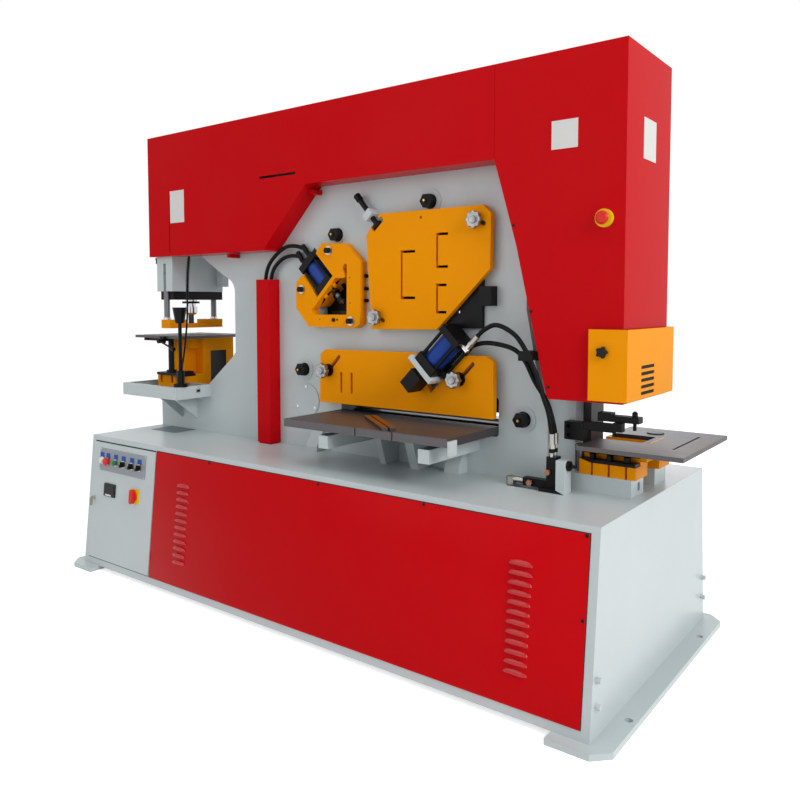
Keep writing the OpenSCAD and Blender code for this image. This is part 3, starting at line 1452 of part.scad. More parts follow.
// Route points of each hose, end to end
lamp_route = [[-921, -205.5, 1500], [-922, -214, 1420], [-924, -216, 1333], [-930, -216, 1190], [-947, -222, 1040], [-944, -240, 960], [-930, -251, 905]];
left_route_a = [[-205.2, -126, 1489.3], [-226, -126, 1509], [-272, -133, 1524], [-331, -139, 1520], [-393, -143, 1483], [-437, -143, 1436],
    [-455, -142, 1382], [-456, -142, 1340]];
left_route_b = [[-236.8, -126, 1458.7], [-256.5, -126, 1478], [-310, -130, 1482], [-364, -132, 1466], [-411, -132, 1428],
    [-429, -132, 1382], [-430, -132, 1340]];
right_route_a = [[670.8, -200, 1120.8], [693, -201, 1143], [735, -208, 1178], [790, -212, 1196], [858, -212, 1165], [904, -212, 1108],
    [945, -210, 1025], [968, -206, 955], [985, -202, 905], [997, -199, 835], [998, -198, 783]];
right_route_b = [[646.1, -175, 1099], [664, -175, 1116], [722, -182, 1130], [785, -188, 1127], [845, -190, 1112], [886, -190, 1078],
    [926, -188, 1005], [962, -184, 950], [983, -180, 900], [997, -175, 835], [998, -174, 783]];
lamp_cable_d = 9;
hose_d = 17;
module lamp_cable() on_deck() { color(black) hose(lamp_route, lamp_cable_d, 3, [0, 1, 0]); }
module hose_left_a() on_deck() { color(black) hose(left_route_a, hose_d, 4, [0, 1, 0]); }
module hose_left_b() on_deck() { color(black) hose(left_route_b, hose_d, 4, [0, 1, 0]); }
module hose_right_a() on_deck() { color(black) hose(right_route_a, hose_d, 3, [0, 1, 0]); }
module hose_right_b() on_deck() { color(black) hose(right_route_b, hose_d, 3, [0, 1, 0]); }

base_cabinet();
front_panel();
control_door();
door_button_plate();
start_button();
stop_button();
selector_1();
selector_2();
selector_3();
isolator_handle();
door_key();
front_side_plate();
rear_side_plate();
doubler_plate();
frame_spacers();
frame_bolts();
left_cover();
right_cover();
cover_stop_button();
hose_post();
main_cylinder();
main_rod();
beam();
moving_blades();
fixed_blades();
punch_cylinder();
punch_ram();
punch_tooling();
stripper();
die_holder();
punch_table();
table_lever();
chip_tray();
task_lamp();
angle_shear_housing();
angle_cylinder();
angle_rod();
section_die_plate();
section_plate();
adjusting_screw();
flat_hold_plate();
flat_cylinder();
flat_rod();
knob_1();
knob_2();
knob_3();
knob_4();
shear_table();
hose_fittings();
notch_base();
notch_table();
notch_guide();
notch_ram();
notch_guard();
notch_stop();
lamp_cable();
hose_left_a();
hose_left_b();
hose_right_a();
hose_right_b();
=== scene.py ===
import math

import bmesh
import bpy
from mathutils import Matrix, Vector


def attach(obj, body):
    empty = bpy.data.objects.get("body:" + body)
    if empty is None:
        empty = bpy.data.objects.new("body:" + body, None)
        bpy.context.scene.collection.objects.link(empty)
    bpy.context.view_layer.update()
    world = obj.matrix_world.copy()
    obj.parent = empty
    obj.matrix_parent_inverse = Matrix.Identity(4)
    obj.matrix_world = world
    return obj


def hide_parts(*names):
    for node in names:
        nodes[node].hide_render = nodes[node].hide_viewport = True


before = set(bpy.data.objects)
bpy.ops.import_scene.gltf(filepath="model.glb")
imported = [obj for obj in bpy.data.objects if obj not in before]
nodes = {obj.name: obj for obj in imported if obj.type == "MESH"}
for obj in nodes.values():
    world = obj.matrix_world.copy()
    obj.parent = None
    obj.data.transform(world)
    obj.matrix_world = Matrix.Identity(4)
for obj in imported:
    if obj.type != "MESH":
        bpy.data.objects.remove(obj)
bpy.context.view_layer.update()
scene = bpy.context.scene


# ---- Camera ----
# A full-frame camera at eye height off the machine's right front corner, turned to its middle.
# It tilts slightly down, and the frame is shifted so that the machine fills it.
EYE = (2.1414, -2.5657, 1.2721)
TILT_DOWN = 3.431
TURN_LEFT = 37.078
camera_data = bpy.data.cameras.new("camera")
camera = bpy.data.objects.new("camera", camera_data)
scene.collection.objects.link(camera)
camera_data.sensor_width = 36
camera_data.lens = 34.52
camera_data.shift_y = -0.0632
camera_data.clip_end = 60
camera.location = EYE
camera.rotation_euler = (math.radians(90 - TILT_DOWN), 0, math.radians(TURN_LEFT))
scene.camera = camera


# ---- Hoses ----
# Wire-braided rubber hydraulic hoses with crimped steel ends, and the lamp's PVC flex.
# Each hose is held at both ends: in a cylinder's fitting, in the hose post or in the valve block.
def colour(hex_value):
    """Linear RGBA of an sRGB hex value."""
    parts = [int(hex_value[i:i + 2], 16) / 255 for i in (1, 3, 5)]
    return [c / 12.92 if c <= 0.04045 else ((c + 0.055) / 1.055) ** 2.4 for c in parts] + [1]


def add_node(tree, kind, values=None, links=None, **settings):
    """Adds a shader node with its settings, its socket values and its incoming links."""
    node = tree.nodes.new("ShaderNode" + kind)
    for name, value in settings.items():
        setattr(node, name, value)
    for name, value in (values or {}).items():
        node.inputs[name].default_value = value
    for name, source in (links or {}).items():
        tree.links.new(source, node.inputs[name])
    return node


def new_material(name, **values):
    """A Principled material with these values, its tree and its shader."""
    material = bpy.data.materials.new(name)
    material.use_nodes = True
    shader = material.node_tree.nodes["Principled BSDF"]
    for key, value in values.items():
        shader.inputs[key.replace("_", " ")].default_value = value
    return material, material.node_tree, shader


def add_piece(name, bm, material, body="frame", smooth=0.0):
    """Links a finished bmesh as a piece that rides on a CAD body."""
    mesh = bpy.data.meshes.new(name)
    bmesh.ops.recalc_face_normals(bm, faces=bm.faces)
    bm.to_mesh(mesh)
    bm.free()
    for one in material if isinstance(material, (list, tuple)) else [material]:
        mesh.materials.append(one)
    if smooth:
        mesh.shade_smooth()
        mesh.set_sharp_from_angle(angle=math.radians(smooth))
    piece = bpy.data.objects.new(name, mesh)
    scene.collection.objects.link(piece)
    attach(piece, body)
    return piece


# Chloroprene rubber cover, cured in a cloth wrap: near black and dull, with a fine weave in its sheen
hose_rubber, tree, shader = new_material("hose_rubber", Base_Color=colour("#0A0A0B"), Roughness=0.42,
                                         IOR=1.22)
coords = add_node(tree, "TexCoord")
weave = add_node(tree, "TexNoise", {"Scale": 420.0, "Detail": 2.0}, {"Vector": coords.outputs["Object"]})
bump = add_node(tree, "Bump", {"Strength": 0.25, "Distance": 0.0006}, {"Height": weave.outputs["Fac"]})
tree.links.new(bump.outputs["Normal"], shader.inputs["Normal"])

# Zinc-nickel plated steel of the crimped ends: a warm grey metal with a soft shine
ferrule_zinc, tree, shader = new_material("ferrule_zinc", Base_Color=colour("#A9A79F"), Metallic=1.0,
                                          Roughness=0.32)

# Steel blacked in a hot oxide bath and oiled: deep black, with a thin light line along its edges
black_oxide, tree, shader = new_material("black_oxide_steel", Base_Color=colour("#0B0B0C"), Roughness=0.4,
                                         IOR=1.24)
rounded = add_node(tree, "Bevel", {"Radius": 0.0012}, samples=4)
tree.links.new(rounded.outputs["Normal"], shader.inputs["Normal"])

HOSE_D = 0.017
FLEX_D = 0.009
ROUTE_STEPS = 6
hose_routes = {
    "hose_left_a": [[-205.2, -126, 1489.3], [-226, -126, 1509], [-272, -133, 1524], [-331, -139, 1520],
                    [-393, -143, 1483], [-437, -143, 1436], [-455, -142, 1382], [-456, -142, 1340]],
    "hose_left_b": [[-236.8, -126, 1458.7], [-256.5, -126, 1478], [-310, -130, 1482], [-364, -132, 1466],
                    [-411, -132, 1428], [-429, -132, 1382], [-430, -132, 1340]],
    "hose_right_a": [[670.8, -200, 1120.8], [693, -201, 1143], [735, -208, 1178], [790, -212, 1196],
                     [858, -212, 1165], [904, -212, 1108], [945, -210, 1025], [968, -206, 955],
                     [985, -202, 905], [997, -199, 835], [998, -198, 783]],
    "hose_right_b": [[646.1, -175, 1099], [664, -175, 1116], [722, -182, 1130], [785, -188, 1127],
                     [845, -190, 1112], [886, -190, 1078], [926, -188, 1005], [962, -184, 950],
                     [983, -180, 900], [997, -175, 835], [998, -174, 783]],
    "lamp_cable": [[-921, -205.5, 1500], [-922, -214, 1420], [-924, -216, 1333], [-930, -216, 1190],
                   [-947, -222, 1040], [-944, -240, 960], [-930, -251, 905]],
}


def smooth_route(points, steps):
    """Points of a Catmull-Rom curve through a route given in millimetres."""
    p = [Vector(q) / 1000 for q in points]
    out = []
    for i in range(len(p) - 1):
        a, b, c, d = p[max(i - 1, 0)], p[i], p[i + 1], p[min(i + 2, len(p) - 1)]
        for j in range(steps):
            t = j / steps
            bend = (2 * a - 5 * b + 4 * c - d) * t * t + (3 * b - a - 3 * c + d) * t ** 3
            out.append(0.5 * (2 * b + (c - a) * t + bend))
    return out + [p[-1]]


def curve_piece(name, path, diameter, material):
    """An open poly curve with a round bevel, as a hose is."""
    data = bpy.data.curves.new(name, "CURVE")
    data.dimensions = "3D"
    data.bevel_depth = diameter / 2
    data.bevel_resolution = 5
    data.use_fill_caps = True
    spline = data.splines.new("POLY")
    spline.points.add(len(path) - 1)
    for point, place in zip(spline.points, path):
        point.co = (*place, 1)
    spline.use_smooth = True
    data.materials.append(material)
    piece = bpy.data.objects.new(name, data)
    scene.collection.objects.link(piece)
    return piece


for name, route in hose_routes.items():
    flex = name == "lamp_cable"
    diameter = FLEX_D if flex else HOSE_D
    path = smooth_route(route, ROUTE_STEPS)
    hose = curve_piece(name + "_skin", path, diameter, hose_rubber)
    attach(hose, "frame")
    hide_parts(name)


def tube_between(bm, start, end, radius_a, radius_b, segments=24, material_index=0):
    """A closed round bar from start to end, in metres."""
    start, end = Vector(start), Vector(end)
    turn = (end - start).to_track_quat("Z", "Y").to_matrix().to_4x4()
    place = Matrix.Translation((start + end) / 2) @ turn
    made = bmesh.ops.create_cone(bm, cap_ends=True, segments=segments, radius1=radius_a, radius2=radius_b,
                                 depth=(end - start).length, matrix=place)
    for face in {f for v in made["verts"] for f in v.link_faces}:
        face.material_index = material_index
    return made["verts"]


# Hexagon nut, crimped ferrule and its four crimp rings on each hose end that can be seen
NUT_R = 0.0125
NUT_BACK = 0.002
NUT_LENGTH = 0.012
FERRULE_R = 0.0106
FERRULE_LENGTH = 0.048
RING_R = 0.0113
RING_START = 0.017
RING_PITCH = 0.0085
RING_LENGTH = 0.005
BRIGHT, BLACK = 0, 1
bright_ends = (("hose_right_a", 0), ("hose_right_a", -1), ("hose_right_b", -1))
bm = bmesh.new()
for name, route in hose_routes.items():
    if name == "lamp_cable":
        continue
    path = smooth_route(route, ROUTE_STEPS)
    for end, nearest in ((0, 1), (-1, -2)):
        if name.startswith("hose_left") and end == -1:
            continue
        a, b = path[end], path[nearest]
        way = (b - a).normalized()
        plating = BRIGHT if (name, end) in bright_ends else BLACK
        tube_between(bm, a - way * NUT_BACK, a + way * NUT_LENGTH, NUT_R, NUT_R, 6, plating)
        tube_between(bm, a + way * NUT_LENGTH, a + way * FERRULE_LENGTH, FERRULE_R, FERRULE_R, 24, plating)
        for k in range(4):
            spot = a + way * (RING_START + RING_PITCH * k)
            tube_between(bm, spot, spot + way * RING_LENGTH, RING_R, RING_R, 24, plating)
add_piece("hose_ferrules", bm, [ferrule_zinc, black_oxide], smooth=30)


# ---- Base cabinet ----
# A welded cabinet of 6 mm plate with a thick top plate, filled, sanded and sprayed light grey.
# Two foot plates are welded under its ends, with half-round lifting loops above them.
HAIR = 0.0001


def corners(node_name):
    """Lowest and highest corner of a CAD node."""
    spots = [v.co for v in nodes[node_name].data.vertices]
    return (Vector([min(p[axis] for p in spots) for axis in range(3)]),
            Vector([max(p[axis] for p in spots) for axis in range(3)]))


def finish(node_name, *layers):
    """Gives a CAD node its materials: the first everywhere, each later one where its test of a face holds."""
    mesh = nodes[node_name].data
    mesh.materials.clear()
    for material, _ in layers:
        mesh.materials.append(material)
    for face in mesh.polygons:
        index = 0
        for k, (_, test) in enumerate(layers):
            if k and test(face.center, face.normal):
                index = k
        face.material_index = index


def everywhere(centre, normal):
    """Test that holds on the whole node."""
    return True


def enamel(name, hex_value, roughness, grime, gloss, edge=0.0015):
    """Two-part machine enamel: even colour, slight orange peel, soft edges and a little shop dust."""
    material, tree, shader = new_material(name, Roughness=roughness, IOR=gloss)
    coords = add_node(tree, "TexCoord")
    dust = add_node(tree, "TexNoise", {"Scale": 3.1, "Detail": 6.0, "Roughness": 0.62},
                    {"Vector": coords.outputs["Object"]})
    spread = add_node(tree, "MapRange", {"From Min": 0.35, "From Max": 0.75, "To Min": 0.0, "To Max": grime},
                      {"Value": dust.outputs["Fac"]})
    tint = add_node(tree, "Mix", {6: colour(hex_value), 7: colour("#6F675C")}, {0: spread.outputs["Result"]},
                    data_type="RGBA")
    tree.links.new(tint.outputs[2], shader.inputs["Base Color"])
    rounded = add_node(tree, "Bevel", {"Radius": edge}, samples=4)
    peel = add_node(tree, "TexNoise", {"Scale": 160.0, "Detail": 1.0}, {"Vector": coords.outputs["Object"]})
    bump = add_node(tree, "Bump", {"Strength": 0.06, "Distance": 0.0005},
                    {"Height": peel.outputs["Fac"], "Normal": rounded.outputs["Normal"]})
    tree.links.new(bump.outputs["Normal"], shader.inputs["Normal"])
    return material


# Sprayed light grey, half gloss: soft highlights, and dust that dulls it in broad patches
grey_enamel = enamel("grey_white_enamel", "#C6D0D2", 0.3, 0.07, 1.38)
finish("base_cabinet", (grey_enamel, everywhere))


# ---- Front panel ----
# A screwed-on sheet steel panel sprayed gloss red, with two columns of pressed louvres.
# It lies on the cabinet's leaning front; black strips at its top and right edges are painted shade for the
# gaps there.
DECK = corners("base_cabinet")[1].z
FRONT_Y = -0.500
FOOT_DEPTH = 0.063
LEAN = math.atan(FOOT_DEPTH / DECK)

# Full gloss red: deep and even, with little haze
red_enamel = enamel("red_gloss_enamel", "#C80A13", 0.16, 0.02, 1.09)
# The same paint on the pressed louvres, whose tight curves catch the room's light
louvre_enamel = enamel("red_louvre_enamel", "#C00812", 0.08, 0.0, 1.45, 0.0004)
# Zinc plated screws: light grey with a soft shine
zinc_screw, tree, shader = new_material("zinc_screw", Base_Color=colour("#B9B7B0"), Metallic=1.0,
                                        Roughness=0.35)
# Painted shade for the inside of a gap or a slot: flat near black
gap_shade_black, tree, shader = new_material("painted_gap_shade", Base_Color=colour("#0B0B0C"), Roughness=0.9)


def front_y(z):
    """Where the cabinet's leaning front is at a height."""
    return FRONT_Y - FOOT_DEPTH * (1 - z / DECK)


def front_place(x, z, out=0.0):
    """Matrix at a spot on the leaning front: X along the machine, Y up the front and Z out of it."""
    return (Matrix.Translation((x, front_y(z), z)) @ Matrix.Rotation(math.pi / 2 - LEAN, 4, "X")
            @ Matrix.Translation((0, 0, out)))


def add_box(bm, low, high, place=Matrix.Identity(4), material_index=0, bevel=0.0, segments=2):
    """A box between two corners, its edges bevelled, put in place."""
    low, high = Vector(low), Vector(high)
    centre, size = (low + high) / 2, high - low
    part = bmesh.new()
    bmesh.ops.create_cube(part, size=1, matrix=Matrix.Translation(centre) @ Matrix.Diagonal((*size, 1)))
    if bevel:
        bmesh.ops.bevel(part, geom=part.edges[:], offset=bevel, segments=segments, profile=0.5,
                        affect="EDGES", material=-1)
    for face in part.faces:
        face.material_index = material_index
    bmesh.ops.transform(part, matrix=place, verts=part.verts)
    mesh = bpy.data.meshes.new("part")
    part.to_mesh(mesh)
    part.free()
    bm.from_mesh(mesh)
    bpy.data.meshes.remove(mesh)


PANEL_X = -0.785
PANEL_Z = 0.050
PANEL_LENGTH = 2.055
PANEL_HEIGHT = 0.5617
PANEL_T = 0.003
GAP_DEPTH = 0.0012
TOP_GAP = 0.003
SIDE_GAP = 0.0025
PAINT, GAP, SCREW, LOUVRE = 0, 1, 2, 3
bm = bmesh.new()
panel_place = front_place(PANEL_X, PANEL_Z)
add_box(bm, (0, 0, 0), (PANEL_LENGTH, PANEL_HEIGHT, PANEL_T), panel_place, PAINT, 0.001)

# Louvres: each hood is pressed out along a slit at its lower edge and dies away upwards and at its ends; a
# black strip under its lip is painted shadow
LOUVRE_COLUMNS = (-0.5805, 1.0545)
LOUVRE_ROWS = 12
LOUVRE_TOP = 0.480
LOUVRE_PITCH = 0.0298
HOOD_HALF = 0.0415
HOOD_HEIGHT = 0.0165
HOOD_RISE = 0.0075
SLIT_HALF = 0.0385
for column in LOUVRE_COLUMNS:
    for row in range(LOUVRE_ROWS):
        place = front_place(column, LOUVRE_TOP - LOUVRE_PITCH * row, PANEL_T)
        hood = bmesh.ops.create_grid(bm, x_segments=28, y_segments=9, size=0.5,
                                     matrix=Matrix.Identity(4))["verts"]
        for v in hood:
            along, up = v.co.x * 2, v.co.y + 0.5
            arch = math.sqrt(max(0.0, 1 - abs(along) ** 3))
            rise = HOOD_RISE * math.sqrt(max(0.0, 1 - up ** 3)) * arch
            v.co = (along * HOOD_HALF, up * HOOD_HEIGHT * arch - 0.003, rise)
        bmesh.ops.transform(bm, matrix=place, verts=hood)
        for face in {f for v in hood for f in v.link_faces}:
            face.material_index = LOUVRE
        # Painted shadow: a black strip just under the hood's lower edge
        add_box(bm, (-SLIT_HALF, -0.0052, 0.0), (SLIT_HALF, -0.0030, 0.0008), place, GAP)

# Black strips painted as the shade in the gaps along the panel's top and right edges, and its blackened
# pan-head screws
gap_end = PANEL_LENGTH + SIDE_GAP
add_box(bm, (0, PANEL_HEIGHT, 0), (gap_end, PANEL_HEIGHT + TOP_GAP, GAP_DEPTH), panel_place, GAP)
add_box(bm, (PANEL_LENGTH, 0, 0), (gap_end, PANEL_HEIGHT, GAP_DEPTH), panel_place, GAP)
HEAD_HEIGHT = 0.0025
for x, z in ((0.204, 0.603), (0.684, 0.603), (1.261, 0.603), (1.261, 0.360), (-0.420, 0.603)):
    place = front_place(x, z, PANEL_T)
    head = bmesh.ops.create_cone(bm, cap_ends=True, segments=20, radius1=0.006, radius2=0.004,
                                 depth=HEAD_HEIGHT,
                                 matrix=place @ Matrix.Translation((0, 0, HEAD_HEIGHT / 2)))["verts"]
    for face in {f for v in head for f in v.link_faces}:
        face.material_index = SCREW
panel = add_piece("front_panel_sheet", bm, [red_enamel, gap_shade_black, black_oxide, louvre_enamel],
                  smooth=35)
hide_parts("front_panel")


# ---- Control door ----
# A folded sheet door, sprayed as the cabinet, that carries the hour counter, the isolator and the lock.
# Its button plate is grey sheet with moulded plastic operators in chromed bezels under blue tags.
def moulded(name, hex_value, roughness=0.3):
    """Moulded ABS or polycarbonate: clean colour, soft edges and a low sheen."""
    material, tree, shader = new_material(name, Base_Color=colour(hex_value), Roughness=roughness, IOR=1.26)
    rounded = add_node(tree, "Bevel", {"Radius": 0.0008}, samples=4)
    tree.links.new(rounded.outputs["Normal"], shader.inputs["Normal"])
    return material


black_abs = moulded("black_abs", "#17181A", 0.38)
red_abs = moulded("red_abs", "#DC2A20", 0.25)
green_abs = moulded("green_abs", "#0F7A3A", 0.25)
blue_tag = moulded("blue_tag", "#1F4FA8", 0.4)
white_lens = moulded("white_lens", "#EDEDE6", 0.2)
yellow_abs = moulded("yellow_abs", "#E8C818", 0.35)
counter_glass = moulded("counter_glass", "#15171A", 0.25)
# Painted steel sheet of the button plate: a plain mid grey
plate_grey, tree, shader = new_material("plate_grey", Base_Color=colour("#8F979E"), Roughness=0.42,
                                        Metallic=0.0)

DOOR_X = -1.272
DOOR_Z = 0.054
OPERATOR_Z = 0.520
OPERATORS_X = (-1.199, -1.150, -1.087, -1.025, -0.958, -0.900)
SIGNAL_LAMP_X = OPERATORS_X[0]
SIGNAL_LAMP_R = 0.0135
LENS_OUT = 0.0088
SKIN_T = 0.0035
PLATE_T = 0.006


def proud(c):
    """How far a spot stands in front of the leaning front, along Y."""
    return front_y(c.z) - c.y


def on_door(x0, x1, z0, z1, out):
    """Test: the face's centre lies in this area of the door and stands out of it by more than this."""
    return lambda c, n: x0 < c.x < x1 and z0 < c.z < z1 and proud(c) > out


def at_signal_lamp(c):
    """Whether a spot lies in the signal lamp's width."""
    return abs(c.x - SIGNAL_LAMP_X) < SIGNAL_LAMP_R


in_counter = on_door(-1.1665, -1.0765, 0.355, 0.420, SKIN_T)
in_operator_row = on_door(DOOR_X, PANEL_X, 0.500, 0.5405, PLATE_T + HAIR)
finish("control_door", (grey_enamel, everywhere),
       (black_abs, lambda c, n: in_counter(c, n) and n.y < 0.5),
       (yellow_abs, on_door(-0.9560, -0.8900, 0.354, 0.422, SKIN_T)),
       (zinc_screw, on_door(-1.262, -1.238, 0.323, 0.347, SKIN_T)))
finish("door_button_plate", (plate_grey, everywhere),
       (zinc_screw, lambda c, n: in_operator_row(c, n) and not at_signal_lamp(c)),
       (white_lens, lambda c, n: in_operator_row(c, n) and proud(c) > LENS_OUT and at_signal_lamp(c)))
finish("start_button", (green_abs, everywhere))
for name in ("stop_button", "isolator_handle", "cover_stop_button"):
    finish(name, (red_abs, everywhere))
for name in ("selector_1", "selector_2", "selector_3"):
    finish(name, (black_abs, everywhere))
finish("door_key", (zinc_screw, everywhere))

# Hour counter: a dark window over a white number strip that is left blank
bm = bmesh.new()
place = front_place(-1.1215, 0.3875, 0.0095)
add_box(bm, (-0.036, -0.018, 0), (0.036, 0.022, 0.0012), place, 0, 0.0005)
add_box(bm, (-0.030, -0.0275, 0), (0.016, -0.0205, 0.0012), place, 1)
add_piece("counter_window", bm, [counter_glass, white_lens], "control_door")

# White pointer of each selector
for k, x in enumerate(OPERATORS_X[3:]):
    bm = bmesh.new()
    add_box(bm, (-0.0012, 0.002, 0.0285), (0.0012, 0.0115, 0.0292), front_place(x, OPERATOR_Z), 0)
    add_piece(f"selector_pointer_{k + 1}", bm, white_lens, f"selector_{k + 1}")

# Domed screws at the button plate's corners
bm = bmesh.new()
for x in (-1.214, -0.861):
    for z in (0.478, 0.573):
        bmesh.ops.create_uvsphere(bm, u_segments=14, v_segments=8, radius=0.004,
                                  matrix=front_place(x, z, PLATE_T) @ Matrix.Diagonal((1, 1, 0.5, 1)))
add_piece("button_plate_screws", bm, zinc_screw, "control_door", smooth=40)

# Tags of blue laminate over the operators, left bare
TAG_HALF_WIDTH = 0.0155
TAG_HALF_HEIGHT = 0.011
TAG_T = 0.0016
TAG_Z = OPERATOR_Z + 0.0275
bm = bmesh.new()
for x in OPERATORS_X:
    add_box(bm, (-TAG_HALF_WIDTH, -TAG_HALF_HEIGHT, 0.0), (TAG_HALF_WIDTH, TAG_HALF_HEIGHT, TAG_T),
            front_place(x, TAG_Z, PLATE_T), 0, 0.0004)
add_piece("button_tags", bm, blue_tag, "control_door")

# Dark strips painted as the shade in the gaps above and below the door, in the hoses' rubber material
bm = bmesh.new()
for low, high in ((0.5536, 0.5586), (-0.0036, -0.0006)):
    add_box(bm, (0.002, low, 0.0), (0.480, high, 0.0012), front_place(DOOR_X, DOOR_Z))
add_piece("door_gap_shade_strips", bm, hose_rubber)


# ---- Frame ----
# Flame-cut structural plate, welded, ground at its edges and sprayed light grey.
# Tie bolts are blackened steel with brass grease nipples; a round cover closes the hand hole.

# Turned brass: warm yellow and bright
brass, tree, shader = new_material("brass", Base_Color=colour("#C9A14A"), Metallic=1.0, Roughness=0.28)
# Surface-ground steel: light grey and sharp in its shine
ground_steel, tree, shader = new_material("ground_steel", Base_Color=colour("#C8C9CB"), Metallic=1.0,
                                          Roughness=0.24)
# Thin plate on the deck under the punch frame's foot, dull mid grey and darker than the deck round it
darker_deck_grey, tree, shader = new_material("darker_deck_plate", Base_Color=colour("#7C8488"), Metallic=0.3,
                                        Roughness=0.5)
for name in ("front_side_plate", "rear_side_plate", "doubler_plate", "frame_spacers"):
    finish(name, (grey_enamel, everywhere))

# A thin darker plate laid on the deck under the frame's foot
bm = bmesh.new()
add_box(bm, (-1.205, -0.238, DECK), (-1.012, -0.1085, DECK + 0.0015), bevel=0.0006)
add_piece("darker_deck_patch", bm, darker_deck_grey)

TIE_BOLTS = ((-0.043, 1.562), (0.434, 1.665), (-0.243, 0.981), (0.844, 0.855))
HAND_COVER = (-0.233, 0.844)
HAND_COVER_R = 0.07
BOLT_R = 0.0335
NIPPLE_R = 0.0055
PLATE_FRONT = -0.09
WASHER_FRONT = -0.1121
NUT_FRONT = -0.1437
CROWN_FRONT = -0.1462
NIPPLE_SEAT = -0.1505
NIPPLE_TIP = -0.1565


def off_axis(c, x, z):
    """Distance of a spot from a line that runs front to back through this x and z."""
    return math.hypot(c.x - x, c.z - z)


def at_tie_bolt(c, radius):
    """Whether a spot lies within this radius of a tie bolt."""
    return min(off_axis(c, *at) for at in TIE_BOLTS) < radius


def on_bare_bolt(c, n):
    """Test: the face's centre lies behind the side plate's front, or on the hand hole's cover screws."""
    return c.y > PLATE_FRONT or (c.y < WASHER_FRONT and off_axis(c, *HAND_COVER) < HAND_COVER_R)


finish("frame_bolts", (grey_enamel, everywhere),
       (black_oxide, lambda c, n: c.y < WASHER_FRONT and at_tie_bolt(c, BOLT_R)),
       (brass, lambda c, n: c.y < NUT_FRONT - 4 * HAIR and at_tie_bolt(c, NIPPLE_R)),
       (ground_steel, on_bare_bolt))

# Turned crown and grease nipple of each tie bolt
bm = bmesh.new()
for x, z in TIE_BOLTS:
    tube_between(bm, (x, NUT_FRONT, z), (x, CROWN_FRONT, z), 0.0235, 0.019, 24, 0)
    tube_between(bm, (x, CROWN_FRONT, z), (x, NIPPLE_SEAT, z), 0.0105, 0.0095, 20, 0)
    tube_between(bm, (x, NIPPLE_SEAT, z), (x, NIPPLE_TIP, z), 0.0045, 0.0030, 12, 1)
add_piece("tie_bolt_crowns", bm, [black_oxide, brass], smooth=30)


# ---- Covers ----
# Folded 3 mm sheet sprayed gloss red, screwed to the frame, with bare label plates riveted on.
# The right cover carries the second stop button in a yellow ring.
COVER_FRONT = -0.2081
COVER_STOP = (1.178, 1.543)
COVER_STOP_RING_R = 0.0295
COVER_SCREW_R = 0.006
COVER_SIDE = 1.2451
LEFT_LABEL_X = (-1.06, -0.94)
RIGHT_LABEL_X = (0.98, 1.09)
RIGHT_LABEL_FOOT = 1.7
COVER_SCREWS = ((0.850, 1.540), (0.920, 1.245), (0.987, 0.990))


def on_cover_screw(c, n):
    """Test: the face's centre lies on one of the right cover's screws."""
    return c.y < COVER_FRONT and min(off_axis(c, *at) for at in COVER_SCREWS) < COVER_SCREW_R


def on_cover_label(c, n):
    """Test: the face's centre lies on one of the right cover's labels, on its front or its side."""
    in_width = RIGHT_LABEL_X[0] < c.x < RIGHT_LABEL_X[1]
    return c.x > COVER_SIDE or (c.y < COVER_FRONT and c.z > RIGHT_LABEL_FOOT and in_width)


# Blank aluminium label, lacquered white: pale and slightly dull
label_white, tree, shader = new_material("bare_label_plate", Base_Color=colour("#D9D9D6"), Roughness=0.45)
finish("left_cover", (red_enamel, everywhere),
       (label_white, lambda c, n: c.y < COVER_FRONT and LEFT_LABEL_X[0] < c.x < LEFT_LABEL_X[1]))
finish("right_cover", (red_enamel, everywhere),
       (label_white, on_cover_label),
       (yellow_abs, lambda c, n: c.y < COVER_FRONT and off_axis(c, *COVER_STOP) < COVER_STOP_RING_R),
       (black_oxide, on_cover_screw))
finish("hose_post", (red_enamel, everywhere))


# ---- Punch station ----
# The cylinder block is sprayed steel; the ram is ground and hard chromed, the tools are bare tool steel.
# The die holder is a sprayed block, and the table on it is milled plate.

# Gloss orange-yellow: strong and even, with a soft sheen
yellow_enamel = enamel("yellow_orange_enamel", "#F99C00", 0.3, 0.04, 1.11)
# Ground hard chrome: a near mirror
hard_chrome, tree, shader = new_material("hard_chrome", Base_Color=colour("#D3D5D8"), Metallic=1.0,
                                         Roughness=0.12)
# Turned mild steel, oiled: mid grey with a broad shine
turned_steel, tree, shader = new_material("turned_steel", Base_Color=colour("#6A6C70"), Metallic=0.85,
                                          Roughness=0.36)


